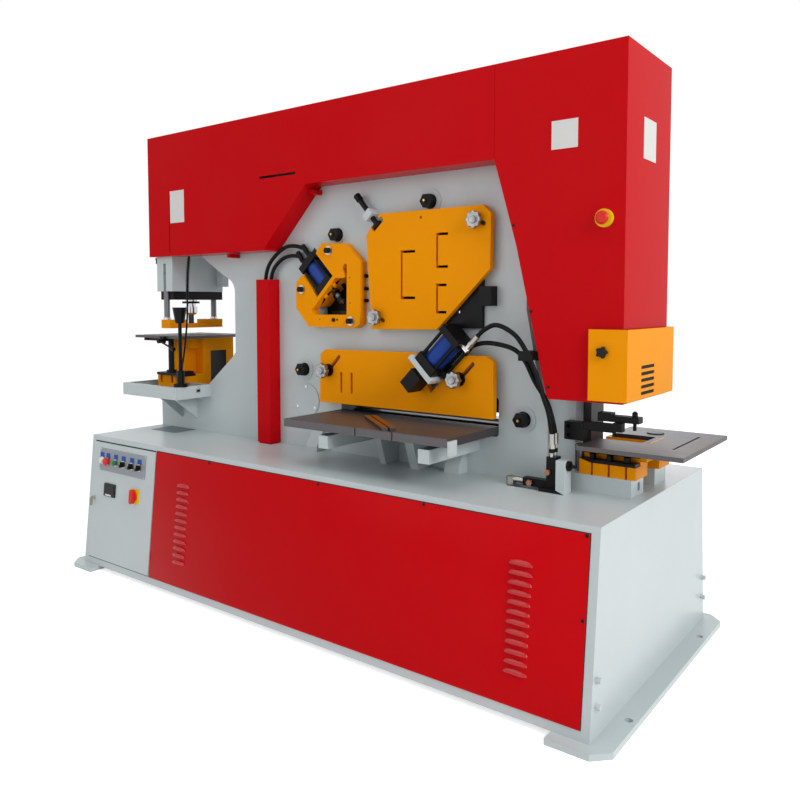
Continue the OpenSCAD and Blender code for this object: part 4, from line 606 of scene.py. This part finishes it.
def bare_steel(name, hex_value, rust, roughness):
    """Milled plate left bare: grey with cutter marks along it, oil stains and a bloom of rust."""
    material, tree, shader = new_material(name, Metallic=0.75)
    coords = add_node(tree, "TexCoord")
    bloom = add_node(tree, "TexNoise", {"Scale": 4.5, "Detail": 8.0, "Roughness": 0.65},
                     {"Vector": coords.outputs["Object"]})
    amount = add_node(tree, "MapRange", {"From Min": 0.45, "From Max": 0.78, "To Min": 0.0, "To Max": rust},
                      {"Value": bloom.outputs["Fac"]})
    tint = add_node(tree, "Mix", {6: colour(hex_value), 7: colour("#6B4A35")}, {0: amount.outputs["Result"]},
                    data_type="RGBA")
    tree.links.new(tint.outputs[2], shader.inputs["Base Color"])
    stretch = add_node(tree, "Mapping", {"Scale": (6.0, 260.0, 260.0)}, {"Vector": coords.outputs["Object"]})
    marks = add_node(tree, "TexNoise", {"Scale": 1.0, "Detail": 3.0}, {"Vector": stretch.outputs["Vector"]})
    gloss = add_node(tree, "MapRange", {"To Min": roughness - 0.08, "To Max": roughness + 0.12},
                     {"Value": marks.outputs["Fac"]})
    tree.links.new(gloss.outputs["Result"], shader.inputs["Roughness"])
    rounded = add_node(tree, "Bevel", {"Radius": 0.001}, samples=4)
    bump = add_node(tree, "Bump", {"Strength": 0.12, "Distance": 0.0004},
                    {"Height": marks.outputs["Fac"], "Normal": rounded.outputs["Normal"]})
    tree.links.new(bump.outputs["Normal"], shader.inputs["Normal"])
    return material


table_steel = bare_steel("milled_table_steel", "#58575A", 0.4, 0.42)
tool_steel = bare_steel("tool_steel", "#3C3C3F", 0.15, 0.42)

PUNCH_X = -1.145
PUNCH_Y = -0.025
GUIDE_ROD_OFFSET = 0.148
GUIDE_ROD_R = 0.016
STRIPPER_TOP = 1.1905
GUIDE_COLLAR_Z = (1.1902, 1.2025)
GUIDE_COLLAR_R = (0.0155, 0.02)
RAM_R = 0.0305
COUPLING_Z = (1.2715, 1.2835)
PUNCH_TIP_TOP = 1.2139
DIE_R = 0.0295
DIE_FOOT = 1.059
PUNCH_TABLE_FOOT = 1.0975
PUNCH_TABLE_FRONT = -0.2301


def off_punch(c):
    """Distance of a spot from the punch's upright axis."""
    return math.hypot(c.x - PUNCH_X, c.y - PUNCH_Y)


def off_guide_rod(c):
    """Distance of a spot from the nearer of the stripper's two guide rods."""
    return min(math.hypot(c.x - PUNCH_X, c.y - PUNCH_Y - side * GUIDE_ROD_OFFSET) for side in (-1, 1))


def on_guide_collar(c, n):
    """Test: the face's centre lies on the collar round a guide rod."""
    return (GUIDE_COLLAR_Z[0] < c.z < GUIDE_COLLAR_Z[1]
            and GUIDE_COLLAR_R[0] < off_guide_rod(c) < GUIDE_COLLAR_R[1])


def on_cylinder_fittings(c, n):
    """Test: the face's centre lies on the gland under the cylinder block or on the fittings at its left."""
    return (c.z < 1.3329 and c.x > -1.21) or (c.x < -1.208 and c.z > 1.4 and c.y < -0.15)


def holder_window_shade(c, n):
    """Test: the face's centre lies in the window through the die holder's block, painted black there as the
    shade inside it.
    """
    return 0.036 < c.y < 0.141 and 0.861 < c.z < 1.027 and -1.2155 < c.x < -1.0695


finish("punch_cylinder", (grey_enamel, everywhere), (black_oxide, on_cylinder_fittings))
finish("punch_ram", (hard_chrome, everywhere),
       (black_oxide, lambda c, n: COUPLING_Z[0] < c.z < COUPLING_Z[1] and off_punch(c) > RAM_R))
finish("punch_tooling", (hard_chrome, everywhere), (tool_steel, lambda c, n: c.z < PUNCH_TIP_TOP))
finish("stripper", (yellow_enamel, everywhere),
       (turned_steel, lambda c, n: c.z > STRIPPER_TOP and off_guide_rod(c) < GUIDE_ROD_R),
       (ground_steel, on_guide_collar))
finish("die_holder", (yellow_enamel, everywhere),
       # The window's inner faces take the black steel as painted shade
       (black_oxide, holder_window_shade),
       (tool_steel, lambda c, n: off_punch(c) < DIE_R and c.z > DIE_FOOT))
finish("punch_table", (table_steel, everywhere),
       (black_oxide, lambda c, n: c.z < PUNCH_TABLE_FOOT or c.y < PUNCH_TABLE_FRONT))
finish("table_lever", (black_oxide, everywhere))
finish("chip_tray", (grey_enamel, everywhere))


# ---- Task lamp ----
# A machine lamp on a magnetic foot: spun aluminium shade in black, ribbed gooseneck, black base.
# Its flex hangs from under the left cover, coiled in its upper part.

# Black stove enamel: deep, with soft highlights
lamp_black, tree, shader = new_material("lamp_black_enamel", Base_Color=colour("#0B0C0D"), Roughness=0.32,
                                        IOR=1.24)
# Frosted glass of the lamp, unlit: a pale matt disc
lens_glass, tree, shader = new_material("frosted_lens", Base_Color=colour("#E8E8E2"), Roughness=0.45)
LENS_Z = 1.2525
finish("task_lamp", (lamp_black, everywhere), (lens_glass, lambda c, n: c.z > LENS_Z and n.z > 0.9))

LAMP = Vector((-0.915, -0.270, 0))
RIB_COUNT = 37
RIB_FIRST = 0.955
RIB_PITCH = 0.006
bm = bmesh.new()
for k in range(RIB_COUNT):
    bmesh.ops.create_cone(bm, cap_ends=True, segments=20, radius1=0.0086, radius2=0.0098, depth=0.003,
                          matrix=Matrix.Translation(LAMP + Vector((0, 0, RIB_FIRST + RIB_PITCH * k))))
add_piece("lamp_gooseneck_ribs", bm, lamp_black, smooth=40)

# Coiled upper part of the lamp's cable
COIL_LOW = 1.312
COIL_HIGH = 1.497
COIL_R = 0.0070
COIL_PITCH = 0.0078
STRAND_R = 0.0019
bm = bmesh.new()
line = [p for p in smooth_route(hose_routes["lamp_cable"], 60) if COIL_LOW < p.z < COIL_HIGH]
walked, coil = 0.0, []
for here, there in zip(line, line[1:]):
    for part in range(3):
        spot = here.lerp(there, part / 3)
        turn = math.tau * (walked + (there - here).length * part / 3) / COIL_PITCH
        coil.append(spot + Vector((math.cos(turn), math.sin(turn), 0)) * COIL_R)
    walked += (there - here).length
for here, there in zip(coil, coil[1:]):
    tube_between(bm, here, there + (there - here) * 0.25, STRAND_R, STRAND_R, 6)
add_piece("lamp_cable_coil", bm, hose_rubber, smooth=60)

# Spring latch on the chip tray's side
bm = bmesh.new()
add_box(bm, (-0.8909, -0.199, 0.838), (-0.8890, -0.175, 0.858), bevel=0.0005)
add_box(bm, (-0.8890, -0.195, 0.843), (-0.8840, -0.181, 0.853), bevel=0.0008, material_index=1)
tube_between(bm, (-0.8870, -0.187, 0.853), (-0.8870, -0.187, 0.868), 0.0026, 0.0026, 16, 0)
add_piece("tray_latch", bm, [zinc_screw, black_oxide], smooth=40)


# ---- Angle shear ----
# A sprayed steel housing on a blackened backing plate, with a small tie-rod cylinder on its slanted seat.
# The cylinder's tube is blue, its heads and tie rods are blackened.

# Blue enamel of a bought-in cylinder tube: deep, with a soft sheen
barrel_blue, tree, shader = new_material("barrel_blue_enamel", Base_Color=colour("#103C92"), Roughness=0.3,
                                         IOR=1.3)
ANGLE_SEAT = Vector((-0.088, -0.099, 1.341))
ANGLE_AXIS = Vector((-1, 0, 1)).normalized()
ANGLE_FACE = -0.150
ANGLE_BACKING = -0.1201
ANGLE_SEAT_FRONT = -0.1092
ANGLE_SEAT_BAND = (-0.0172, -0.0008)
ANGLE_HEADS = -0.1541
ANGLE_BARREL = (0.0281, 0.1329)
ANGLE_ROD_NUT = (-0.0421, -0.0299)
ANGLE_ROD_TIP = (-0.0839, -0.0619)
TIE_ROD_RADIUS = 0.0425


def up_axis(c, seat, axis):
    """Height of a spot above a cylinder's seat, along the cylinder."""
    return (c - seat).dot(axis)


def on_axis(seat, axis, low, high, radius=9.0, inner=0.0):
    """Test: the face's centre lies between two heights above a cylinder's seat and between two radii."""
    def test(c, n):
        along = up_axis(c, seat, axis)
        return low < along < high and inner <= (c - seat - axis * along).length < radius
    return test


def on_angle_seat(c, n):
    """Test: the face's centre lies on the seat that the cylinder stands on."""
    return (c.y > ANGLE_SEAT_FRONT
            and ANGLE_SEAT_BAND[0] < up_axis(c, ANGLE_SEAT, ANGLE_AXIS) < ANGLE_SEAT_BAND[1])


finish("angle_shear_housing", (yellow_enamel, everywhere),
       (black_oxide, lambda c, n: c.y > ANGLE_BACKING),
       (yellow_enamel, on_angle_seat),
       (zinc_screw, lambda c, n: c.y < ANGLE_FACE - HAIR),
       (black_oxide, lambda c, n: c.y < ANGLE_HEADS))
finish("angle_cylinder", (black_oxide, everywhere),
       (barrel_blue, on_axis(ANGLE_SEAT, ANGLE_AXIS, *ANGLE_BARREL, TIE_ROD_RADIUS)))
finish("angle_rod", (turned_steel, everywhere),
       (black_oxide, on_axis(ANGLE_SEAT, ANGLE_AXIS, *ANGLE_ROD_NUT, inner=0.0132)),
       (black_oxide, on_axis(ANGLE_SEAT, ANGLE_AXIS, *ANGLE_ROD_TIP)))

# Blackened cap screws and plugged holes in the housing's face: x, z, radius, how far they stand out
bm = bmesh.new()
for x, z, radius, out in ((0.056, 1.379, 0.0028, 0.0003), (0.057, 1.274, 0.0028, 0.0003),
                          (-0.115, 1.204, 0.0028, 0.0003), (-0.034, 1.203, 0.0080, 0.0060),
                          (-0.015, 1.204, 0.0042, 0.0015)):
    tube_between(bm, (x, ANGLE_FACE + HAIR, z), (x, ANGLE_FACE - out, z), radius, radius, 20)
add_piece("angle_holder_screws", bm, black_oxide, smooth=40)

# Three bolts on the side plate, between the angle shear and the section shear
SIDE_BOLT_X = 0.1165
bm = bmesh.new()
for z in (1.385, 1.333, 1.284):
    tube_between(bm, (SIDE_BOLT_X, -0.1079, z), (SIDE_BOLT_X, -0.1230, z), 0.0078, 0.0078, 6)
    tube_between(bm, (SIDE_BOLT_X, -0.1230, z), (SIDE_BOLT_X, -0.1255, z), 0.0050, 0.0046, 20)
add_piece("shear_side_bolts", bm, black_oxide, smooth=40)


# ---- Section shear ----
# The blade holder behind is blackened; the sliding hold-down plate is flame-cut, ground and sprayed.
# The blades behind all three shears are blacked tool steel, and the beam that swings them is raw plate.
finish("section_die_plate", (black_oxide, everywhere))
finish("section_plate", (yellow_enamel, everywhere))
finish("adjusting_screw", (black_oxide, everywhere))
for name in ("fixed_blades", "moving_blades"):
    finish(name, (black_oxide, everywhere))
# Hot-rolled plate with its mill scale on: dark grey and dull
beam_iron, tree, shader = new_material("beam_black_iron", Base_Color=colour("#2B2C2E"), Metallic=0.3,
                                       Roughness=0.6)
finish("beam", (beam_iron, everywhere))


# ---- Flat bar shear ----
# The hold-down plate is driven by a larger tie-rod cylinder through a blackened foot.
# Behind it, out of sight, the main cylinder pushes the beam down by a chromed rod.
FLAT_SEAT = Vector((0.471, -0.185, 1.020))
FLAT_AXIS = Vector((1, 0, 1)).normalized()
FLAT_SIDE = Vector((1, 0, -1)).normalized()
FLAT_FLANGE = (-0.0002, 0.0181)
FLAT_BARREL = (0.0541, 0.1719)
FLAT_PORTS = 0.1861
FLAT_PORTS_SIDE = 0.0555
FLAT_PORTS_FRONT = -0.1871
FLAT_PLATE_BACK = -0.1349
FLAT_FOOT = -0.0159


def at_flat_port(c, n):
    """Test: the face's centre lies on the bright port adapters at the cylinder's rear head."""
    return (up_axis(c, FLAT_SEAT, FLAT_AXIS) > FLAT_PORTS and (c - FLAT_SEAT).dot(FLAT_SIDE) > FLAT_PORTS_SIDE
            and c.y < FLAT_PORTS_FRONT)


finish("flat_hold_plate", (yellow_enamel, everywhere), (tool_steel, lambda c, n: c.y > FLAT_PLATE_BACK))
finish("flat_cylinder", (black_oxide, everywhere),
       (grey_enamel, on_axis(FLAT_SEAT, FLAT_AXIS, *FLAT_FLANGE, inner=0.0175)),
       (barrel_blue, on_axis(FLAT_SEAT, FLAT_AXIS, *FLAT_BARREL, TIE_ROD_RADIUS)),
       (ground_steel, at_flat_port))
finish("flat_rod", (hard_chrome, everywhere),
       (black_oxide, lambda c, n: up_axis(c, FLAT_SEAT, FLAT_AXIS) < FLAT_FOOT))
finish("main_cylinder", (tool_steel, everywhere))
finish("main_rod", (hard_chrome, everywhere))


# ---- Star knobs ----
# Cast zinc alloy hand knobs with eight scallops and a raised boss, tumbled to a dull shine.
# Each is screwed on a steel stud and stands off the plate on a blackened collar.
cast_zinc, tree, shader = new_material("tumbled_zinc_alloy", Metallic=1.0)
coords = add_node(tree, "TexCoord")
pits = add_node(tree, "TexNoise", {"Scale": 240.0, "Detail": 3.0}, {"Vector": coords.outputs["Object"]})
shade = add_node(tree, "Mix", {6: colour("#7F8081"), 7: colour("#A9AAAB")}, {0: pits.outputs["Fac"]},
                 data_type="RGBA")
tree.links.new(shade.outputs[2], shader.inputs["Base Color"])
shader.inputs["Roughness"].default_value = 0.33
bump = add_node(tree, "Bump", {"Strength": 0.3, "Distance": 0.0004}, {"Height": pits.outputs["Fac"]})
tree.links.new(bump.outputs["Normal"], shader.inputs["Normal"])

SCALLOPS = 8
SCALLOP_DEPTH = 0.0025
STUD_R = 0.0059
STUD_END = -0.090
COLLAR_SEAT = 0.0004
COLLAR_T = 0.0095
SPACER_R = 0.0145
# From the back of the cast knob to its boss: height, radius, and how much of the scallops' depth it has
knob_rings = ((0.0, 0.0265, 1.0), (0.003, 0.0298, 1.0), (0.008, 0.0304, 1.0), (0.018, 0.0304, 1.0),
              (0.0222, 0.0292, 1.0), (0.024, 0.0262, 0.8), (0.024, 0.0235, 0.4), (0.0225, 0.0195, 0.0),
              (0.0228, 0.0155, 0.0), (0.0290, 0.0142, 0.0), (0.0298, 0.0122, 0.0), (0.0286, 0.0085, 0.0))
# Each knob's x, z and plate front, how far it stands off the plate, and its collar's radius
knobs = {"knob_1": (0.669, 1.575, -0.150, 0.012, 0.015), "knob_2": (0.204, 1.217, -0.150, 0.012, 0.015),
         "knob_3": (-0.056, 0.990, -0.160, 0.030, 0.027), "knob_4": (0.600, 0.990, -0.160, 0.030, 0.027)}
for name, (x, z, y, stand_off, collar) in knobs.items():
    bm = bmesh.new()
    loops = []
    for height, radius, scallop in knob_rings:
        ring = bmesh.ops.create_circle(bm, cap_ends=False, segments=80, radius=1.0)["verts"]
        for v in ring:
            angle = math.atan2(v.co.y, v.co.x)
            reach = radius + SCALLOP_DEPTH * scallop * math.tanh(1.4 * math.cos(SCALLOPS * angle))
            v.co = (v.co.x * reach, v.co.y * reach, height)
        loops.append([e for v in ring for e in v.link_edges])
    for a, b in zip(loops, loops[1:]):
        bmesh.ops.bridge_loops(bm, edges=list({*a, *b}))
    bmesh.ops.holes_fill(bm, edges=[e for e in bm.edges if e.is_boundary])
    back = y - stand_off
    bmesh.ops.transform(bm, matrix=Matrix.Translation((x, back, z)) @ Matrix.Rotation(math.pi / 2, 4, "X"),
                        verts=bm.verts)
    tube_between(bm, (x, back, z), (x, STUD_END, z), STUD_R, STUD_R, 24)
    tube_between(bm, (x, y - COLLAR_SEAT, z), (x, y - COLLAR_T, z), collar, collar - 0.0006, 40, 1)
    sides = 6 if collar > 0.02 else 32
    tube_between(bm, (x, y - COLLAR_T, z), (x, back + HAIR, z), SPACER_R, SPACER_R, sides, 1)
    knob = add_piece(name + "_cast", bm, [cast_zinc, black_oxide], name, smooth=35)
    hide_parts(name)


# ---- Shear table ----
# A milled table plate on two channel arms and two gusset legs; two scale-brown guide bars lie on it.
# Strips of the same steel fill its two gauge slots and stand 4 mm proud of its front edge.

# Hot-rolled bar with brown scale: warm brown, dull
scale_brown = bare_steel("brown_scale_bar", "#8A5A28", 0.2, 0.45)
TABLE_TOP = 0.820
TABLE_T = 0.030
TABLE_RIGHT = 0.740
GUIDE_BAR_T = 0.012


def in_table_plate(c, n):
    """Test: the face's centre lies on the table's plate."""
    return TABLE_TOP - TABLE_T - HAIR < c.z < TABLE_TOP + HAIR and c.x < TABLE_RIGHT + HAIR


finish("shear_table", (grey_enamel, everywhere),
       (table_steel, in_table_plate),
       (tool_steel, lambda c, n: c.z > TABLE_TOP + HAIR),
       (scale_brown, lambda c, n: c.z > TABLE_TOP + GUIDE_BAR_T - HAIR and n.z > 0.9))

STRIP_HALF = 0.0059
STRIP_FRONT = -0.4538
STRIP_BACK = -0.3642
STRIP_SINK = 0.0002
bm = bmesh.new()
for x in (0.330, 0.500):
    add_box(bm, (x - STRIP_HALF, STRIP_FRONT, TABLE_TOP - TABLE_T + STRIP_SINK),
            (x + STRIP_HALF, STRIP_BACK, TABLE_TOP - STRIP_SINK))
add_piece("gauge_slot_strips", bm, table_steel)


# ---- Hydraulic fittings ----
# Blackened valve blocks, copper plugs and a hose clamp at the foot of the frame.
# Their unions are zinc plated, and the block beside them is sprayed light grey.

# Copper-coloured plated plug: dull reddish metal
copper_plug, tree, shader = new_material("copper_plug", Base_Color=colour("#A5705C"), Metallic=0.5,
                                         Roughness=0.42)
SIDE_BLOCK_X = (1.0239, 1.0561)
SIDE_BLOCK_FOOT = 0.6459
UNION_Z = (0.7521, 0.7659)
LEFT_FITTING_RIGHT = 0.8801
LEFT_FITTING_TOP = 0.70
PLUG_FRONT = -0.2051
PLUG_Z = (0.6455, 0.715)
PLUG_RIGHT = 1.02
finish("hose_fittings", (black_oxide, everywhere),
       (grey_enamel, lambda c, n: SIDE_BLOCK_X[0] < c.x < SIDE_BLOCK_X[1] and c.z > SIDE_BLOCK_FOOT),
       (zinc_screw, lambda c, n: UNION_Z[0] < c.z < UNION_Z[1]),
       (ferrule_zinc, lambda c, n: c.x < LEFT_FITTING_RIGHT and c.z < LEFT_FITTING_TOP),
       (copper_plug, lambda c, n: c.y < PLUG_FRONT and PLUG_Z[0] < c.z < PLUG_Z[1] and c.x < PLUG_RIGHT))


# ---- Notcher ----
# White base blocks, yellow die holder under a blackened clamp plate, a milled table and bare tools.
# A turned post stands at the left end, behind the yellow lugs, and props the table's corner by a flat tab.
OLD_POST = (1.100, -0.190)
OLD_POST_R = 0.0135
POST_X = 1.0540
POST_Y = -0.0885
POST_R = 0.0128
LUG_FOOT = 0.6931
CLAMP_FOOT = 0.7351
CLAMP_BACK = -0.0899
CLAMP_RIGHT = 1.2636
WHITE, YELLOW, BLACKED, TURNED = 0, 1, 2, 3
bm = bmesh.new()
bm.from_mesh(nodes["notch_base"].data)
bmesh.ops.remove_doubles(bm, verts=bm.verts, dist=0.00001)
old_post = [v for v in bm.verts if math.hypot(v.co.x - OLD_POST[0], v.co.y - OLD_POST[1]) < OLD_POST_R]
bmesh.ops.delete(bm, geom=old_post, context="VERTS")
for face in bm.faces:
    c = face.calc_center_median()
    in_clamp = c.y < CLAMP_BACK and c.z > CLAMP_FOOT and c.x < CLAMP_RIGHT
    face.material_index = BLACKED if in_clamp else YELLOW if c.z > LUG_FOOT else WHITE
tube_between(bm, (POST_X, POST_Y, 0.6925), (POST_X, POST_Y, 0.7805), POST_R, POST_R, 40, TURNED)
add_box(bm, (1.0390, -0.1080, 0.7800), (1.1080, -0.0690, 0.7878), material_index=TURNED, bevel=0.002)
base = add_piece("notch_base_blocks", bm, [grey_enamel, yellow_enamel, black_oxide, turned_steel])
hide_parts("notch_base")

NOTCH_TABLE_FOOT = 0.788
NOTCH_TABLE_TOP = 0.803
NOTCH_DIE_X = (1.0961, 1.2619)
NOTCH_DIE_Y = (-0.0419, 0.1219)
NOTCH_MARK_X = (1.2715, 1.2785)


def on_notch_tools(c, n):
    """Test: the face's centre lies on the blades let into the table, on the disc on it, or under it."""
    on_die = NOTCH_DIE_X[0] < c.x < NOTCH_DIE_X[1] and NOTCH_DIE_Y[0] < c.y < NOTCH_DIE_Y[1]
    return on_die or c.z < NOTCH_TABLE_FOOT - HAIR or c.z > NOTCH_TABLE_TOP + HAIR


def on_notch_mark(c, n):
    """Test: the face's centre lies on the yellow line beside the blades."""
    return NOTCH_MARK_X[0] < c.x < NOTCH_MARK_X[1] and c.z > NOTCH_TABLE_TOP + HAIR


finish("notch_table", (table_steel, everywhere),
       (tool_steel, on_notch_tools),
       (yellow_enamel, on_notch_mark))
finish("notch_guide", (tool_steel, everywhere))
finish("notch_ram", (ground_steel, everywhere))
finish("notch_stop", (black_oxide, everywhere))

# The sliding guard: folded yellow sheet with slots, clamped at both sides by five-lobed phenolic knobs
CLAMP_X = 1.184
CLAMP_Z = 1.116
CLAMP_KNOB_R = 0.0145
GUARD_SIDE = 0.2251
STUD_SIDE = 0.2225
STUD_RIGHT = 1.20
finish("notch_guard", (yellow_enamel, everywhere),
       (black_abs, lambda c, n: abs(c.y) > GUARD_SIDE and off_axis(c, CLAMP_X, CLAMP_Z) < CLAMP_KNOB_R),
       (ground_steel, lambda c, n: abs(c.y) < STUD_SIDE and c.x < STUD_RIGHT))

# Black sheet painted as the shade behind the guard's slots, with its edges folded out to the guard's wall
SHEET_X = 1.2612
SHEET_T = 0.0006
FOLD_X = 1.2624
FOLD_T = 0.0008
SHEET_Y = (-0.118, 0.048)
SHEET_Z = (0.962, 1.080)
bm = bmesh.new()
add_box(bm, (SHEET_X, SHEET_Y[0], SHEET_Z[0]), (SHEET_X + SHEET_T, SHEET_Y[1], SHEET_Z[1]))
for y0, y1, z0, z1 in ((SHEET_Y[0], SHEET_Y[0] + FOLD_T, *SHEET_Z),
                       (SHEET_Y[1] - FOLD_T, SHEET_Y[1], *SHEET_Z),
                       (*SHEET_Y, SHEET_Z[0], SHEET_Z[0] + FOLD_T),
                       (*SHEET_Y, SHEET_Z[1] - FOLD_T, SHEET_Z[1])):
    add_box(bm, (SHEET_X, y0, z0), (FOLD_X, y1, z1))
add_piece("guard_slot_shade_sheet", bm, gap_shade_black, "notch_guard")

LOBES = 5
LOBE_DEPTH = 0.0030
# From the guard's wall outwards: distance from the machine's middle plane, and radius
clamp_knob_rings = ((0.2252, 0.0128), (0.2285, 0.0165), (0.2345, 0.0172), (0.2395, 0.0168), (0.2412, 0.0148))
bm = bmesh.new()
for side in (-1, 1):
    loops = []
    for height, radius in clamp_knob_rings:
        ring = bmesh.ops.create_circle(bm, cap_ends=False, segments=60, radius=1.0)["verts"]
        for v in ring:
            reach = radius + LOBE_DEPTH * math.cos(LOBES * math.atan2(v.co.y, v.co.x))
            v.co = (CLAMP_X + v.co.x * reach, side * height, CLAMP_Z + v.co.y * reach)
        loops.append([e for v in ring for e in v.link_edges])
    for a, b in zip(loops, loops[1:]):
        bmesh.ops.bridge_loops(bm, edges=list({*a, *b}))
bmesh.ops.holes_fill(bm, edges=[e for e in bm.edges if e.is_boundary])
add_piece("guard_knobs", bm, black_abs, "notch_guard", smooth=40)


# ---- Floor and light ----
# A plain pale floor that keeps the machine's shadow, in a white surround.
# Four soft studio lamps light it: a key from the right front, a fill from the left, a top and a back lamp.
def bright_rays(tree, *rays):
    """1 for the rays that look straight or by a reflection, 0 for those that light the machine."""
    path = add_node(tree, "LightPath")
    seen = path.outputs[rays[0]]
    for ray in rays[1:]:
        either = add_node(tree, "Math", links={0: seen, 1: path.outputs[ray]}, operation="MAXIMUM")
        seen = either.outputs["Value"]
    return seen


# Matt floor paint, near white
floor_paint, tree, shader = new_material("pale_floor", Base_Color=colour("#F4F4F4"), Roughness=0.9)
seen = bright_rays(tree, "Is Camera Ray", "Is Glossy Ray")
glow = add_node(tree, "Math", {1: 0.6}, {0: seen}, operation="MULTIPLY")
shader.inputs["Emission Color"].default_value = (1, 1, 1, 1)
tree.links.new(glow.outputs["Value"], shader.inputs["Emission Strength"])
bm = bmesh.new()
bmesh.ops.create_grid(bm, x_segments=1, y_segments=1, size=30, matrix=Matrix.Translation((0, 0, -0.0006)))
floor_mesh = bpy.data.meshes.new("floor")
bm.to_mesh(floor_mesh)
bm.free()
floor_mesh.materials.append(floor_paint)
floor = bpy.data.objects.new("floor", floor_mesh)
scene.collection.objects.link(floor)

world = bpy.data.worlds.new("surround")
world.use_nodes = True
scene.world = world
tree = world.node_tree
background = tree.nodes["Background"]
seen = bright_rays(tree, "Is Camera Ray", "Is Glossy Ray", "Is Transmission Ray")
level = add_node(tree, "MapRange", {"To Min": 0.4, "To Max": 1.0}, {"Value": seen})
background.inputs["Color"].default_value = (1, 1, 1, 1)
tree.links.new(level.outputs["Result"], background.inputs["Strength"])

MACHINE_MIDDLE = Vector((0, 0, 1.0))
for name, place, power, size in (("key", (6.0, -1.6, 3.6), 200, 3.0), ("fill", (-2.2, -6.5, 3.2), 65, 4.5),
                                 ("top", (0.0, -0.8, 5.4), 60, 4.0), ("back", (-2.0, 5.0, 3.5), 60, 4.0)):
    light = bpy.data.lights.new(name, "AREA")
    light.energy = power
    light.size = size
    lamp = bpy.data.objects.new(name, light)
    scene.collection.objects.link(lamp)
    lamp.location = place
    lamp.rotation_euler = (MACHINE_MIDDLE - Vector(place)).to_track_quat("-Z", "Y").to_euler()

scene.view_settings.view_transform = "Standard"
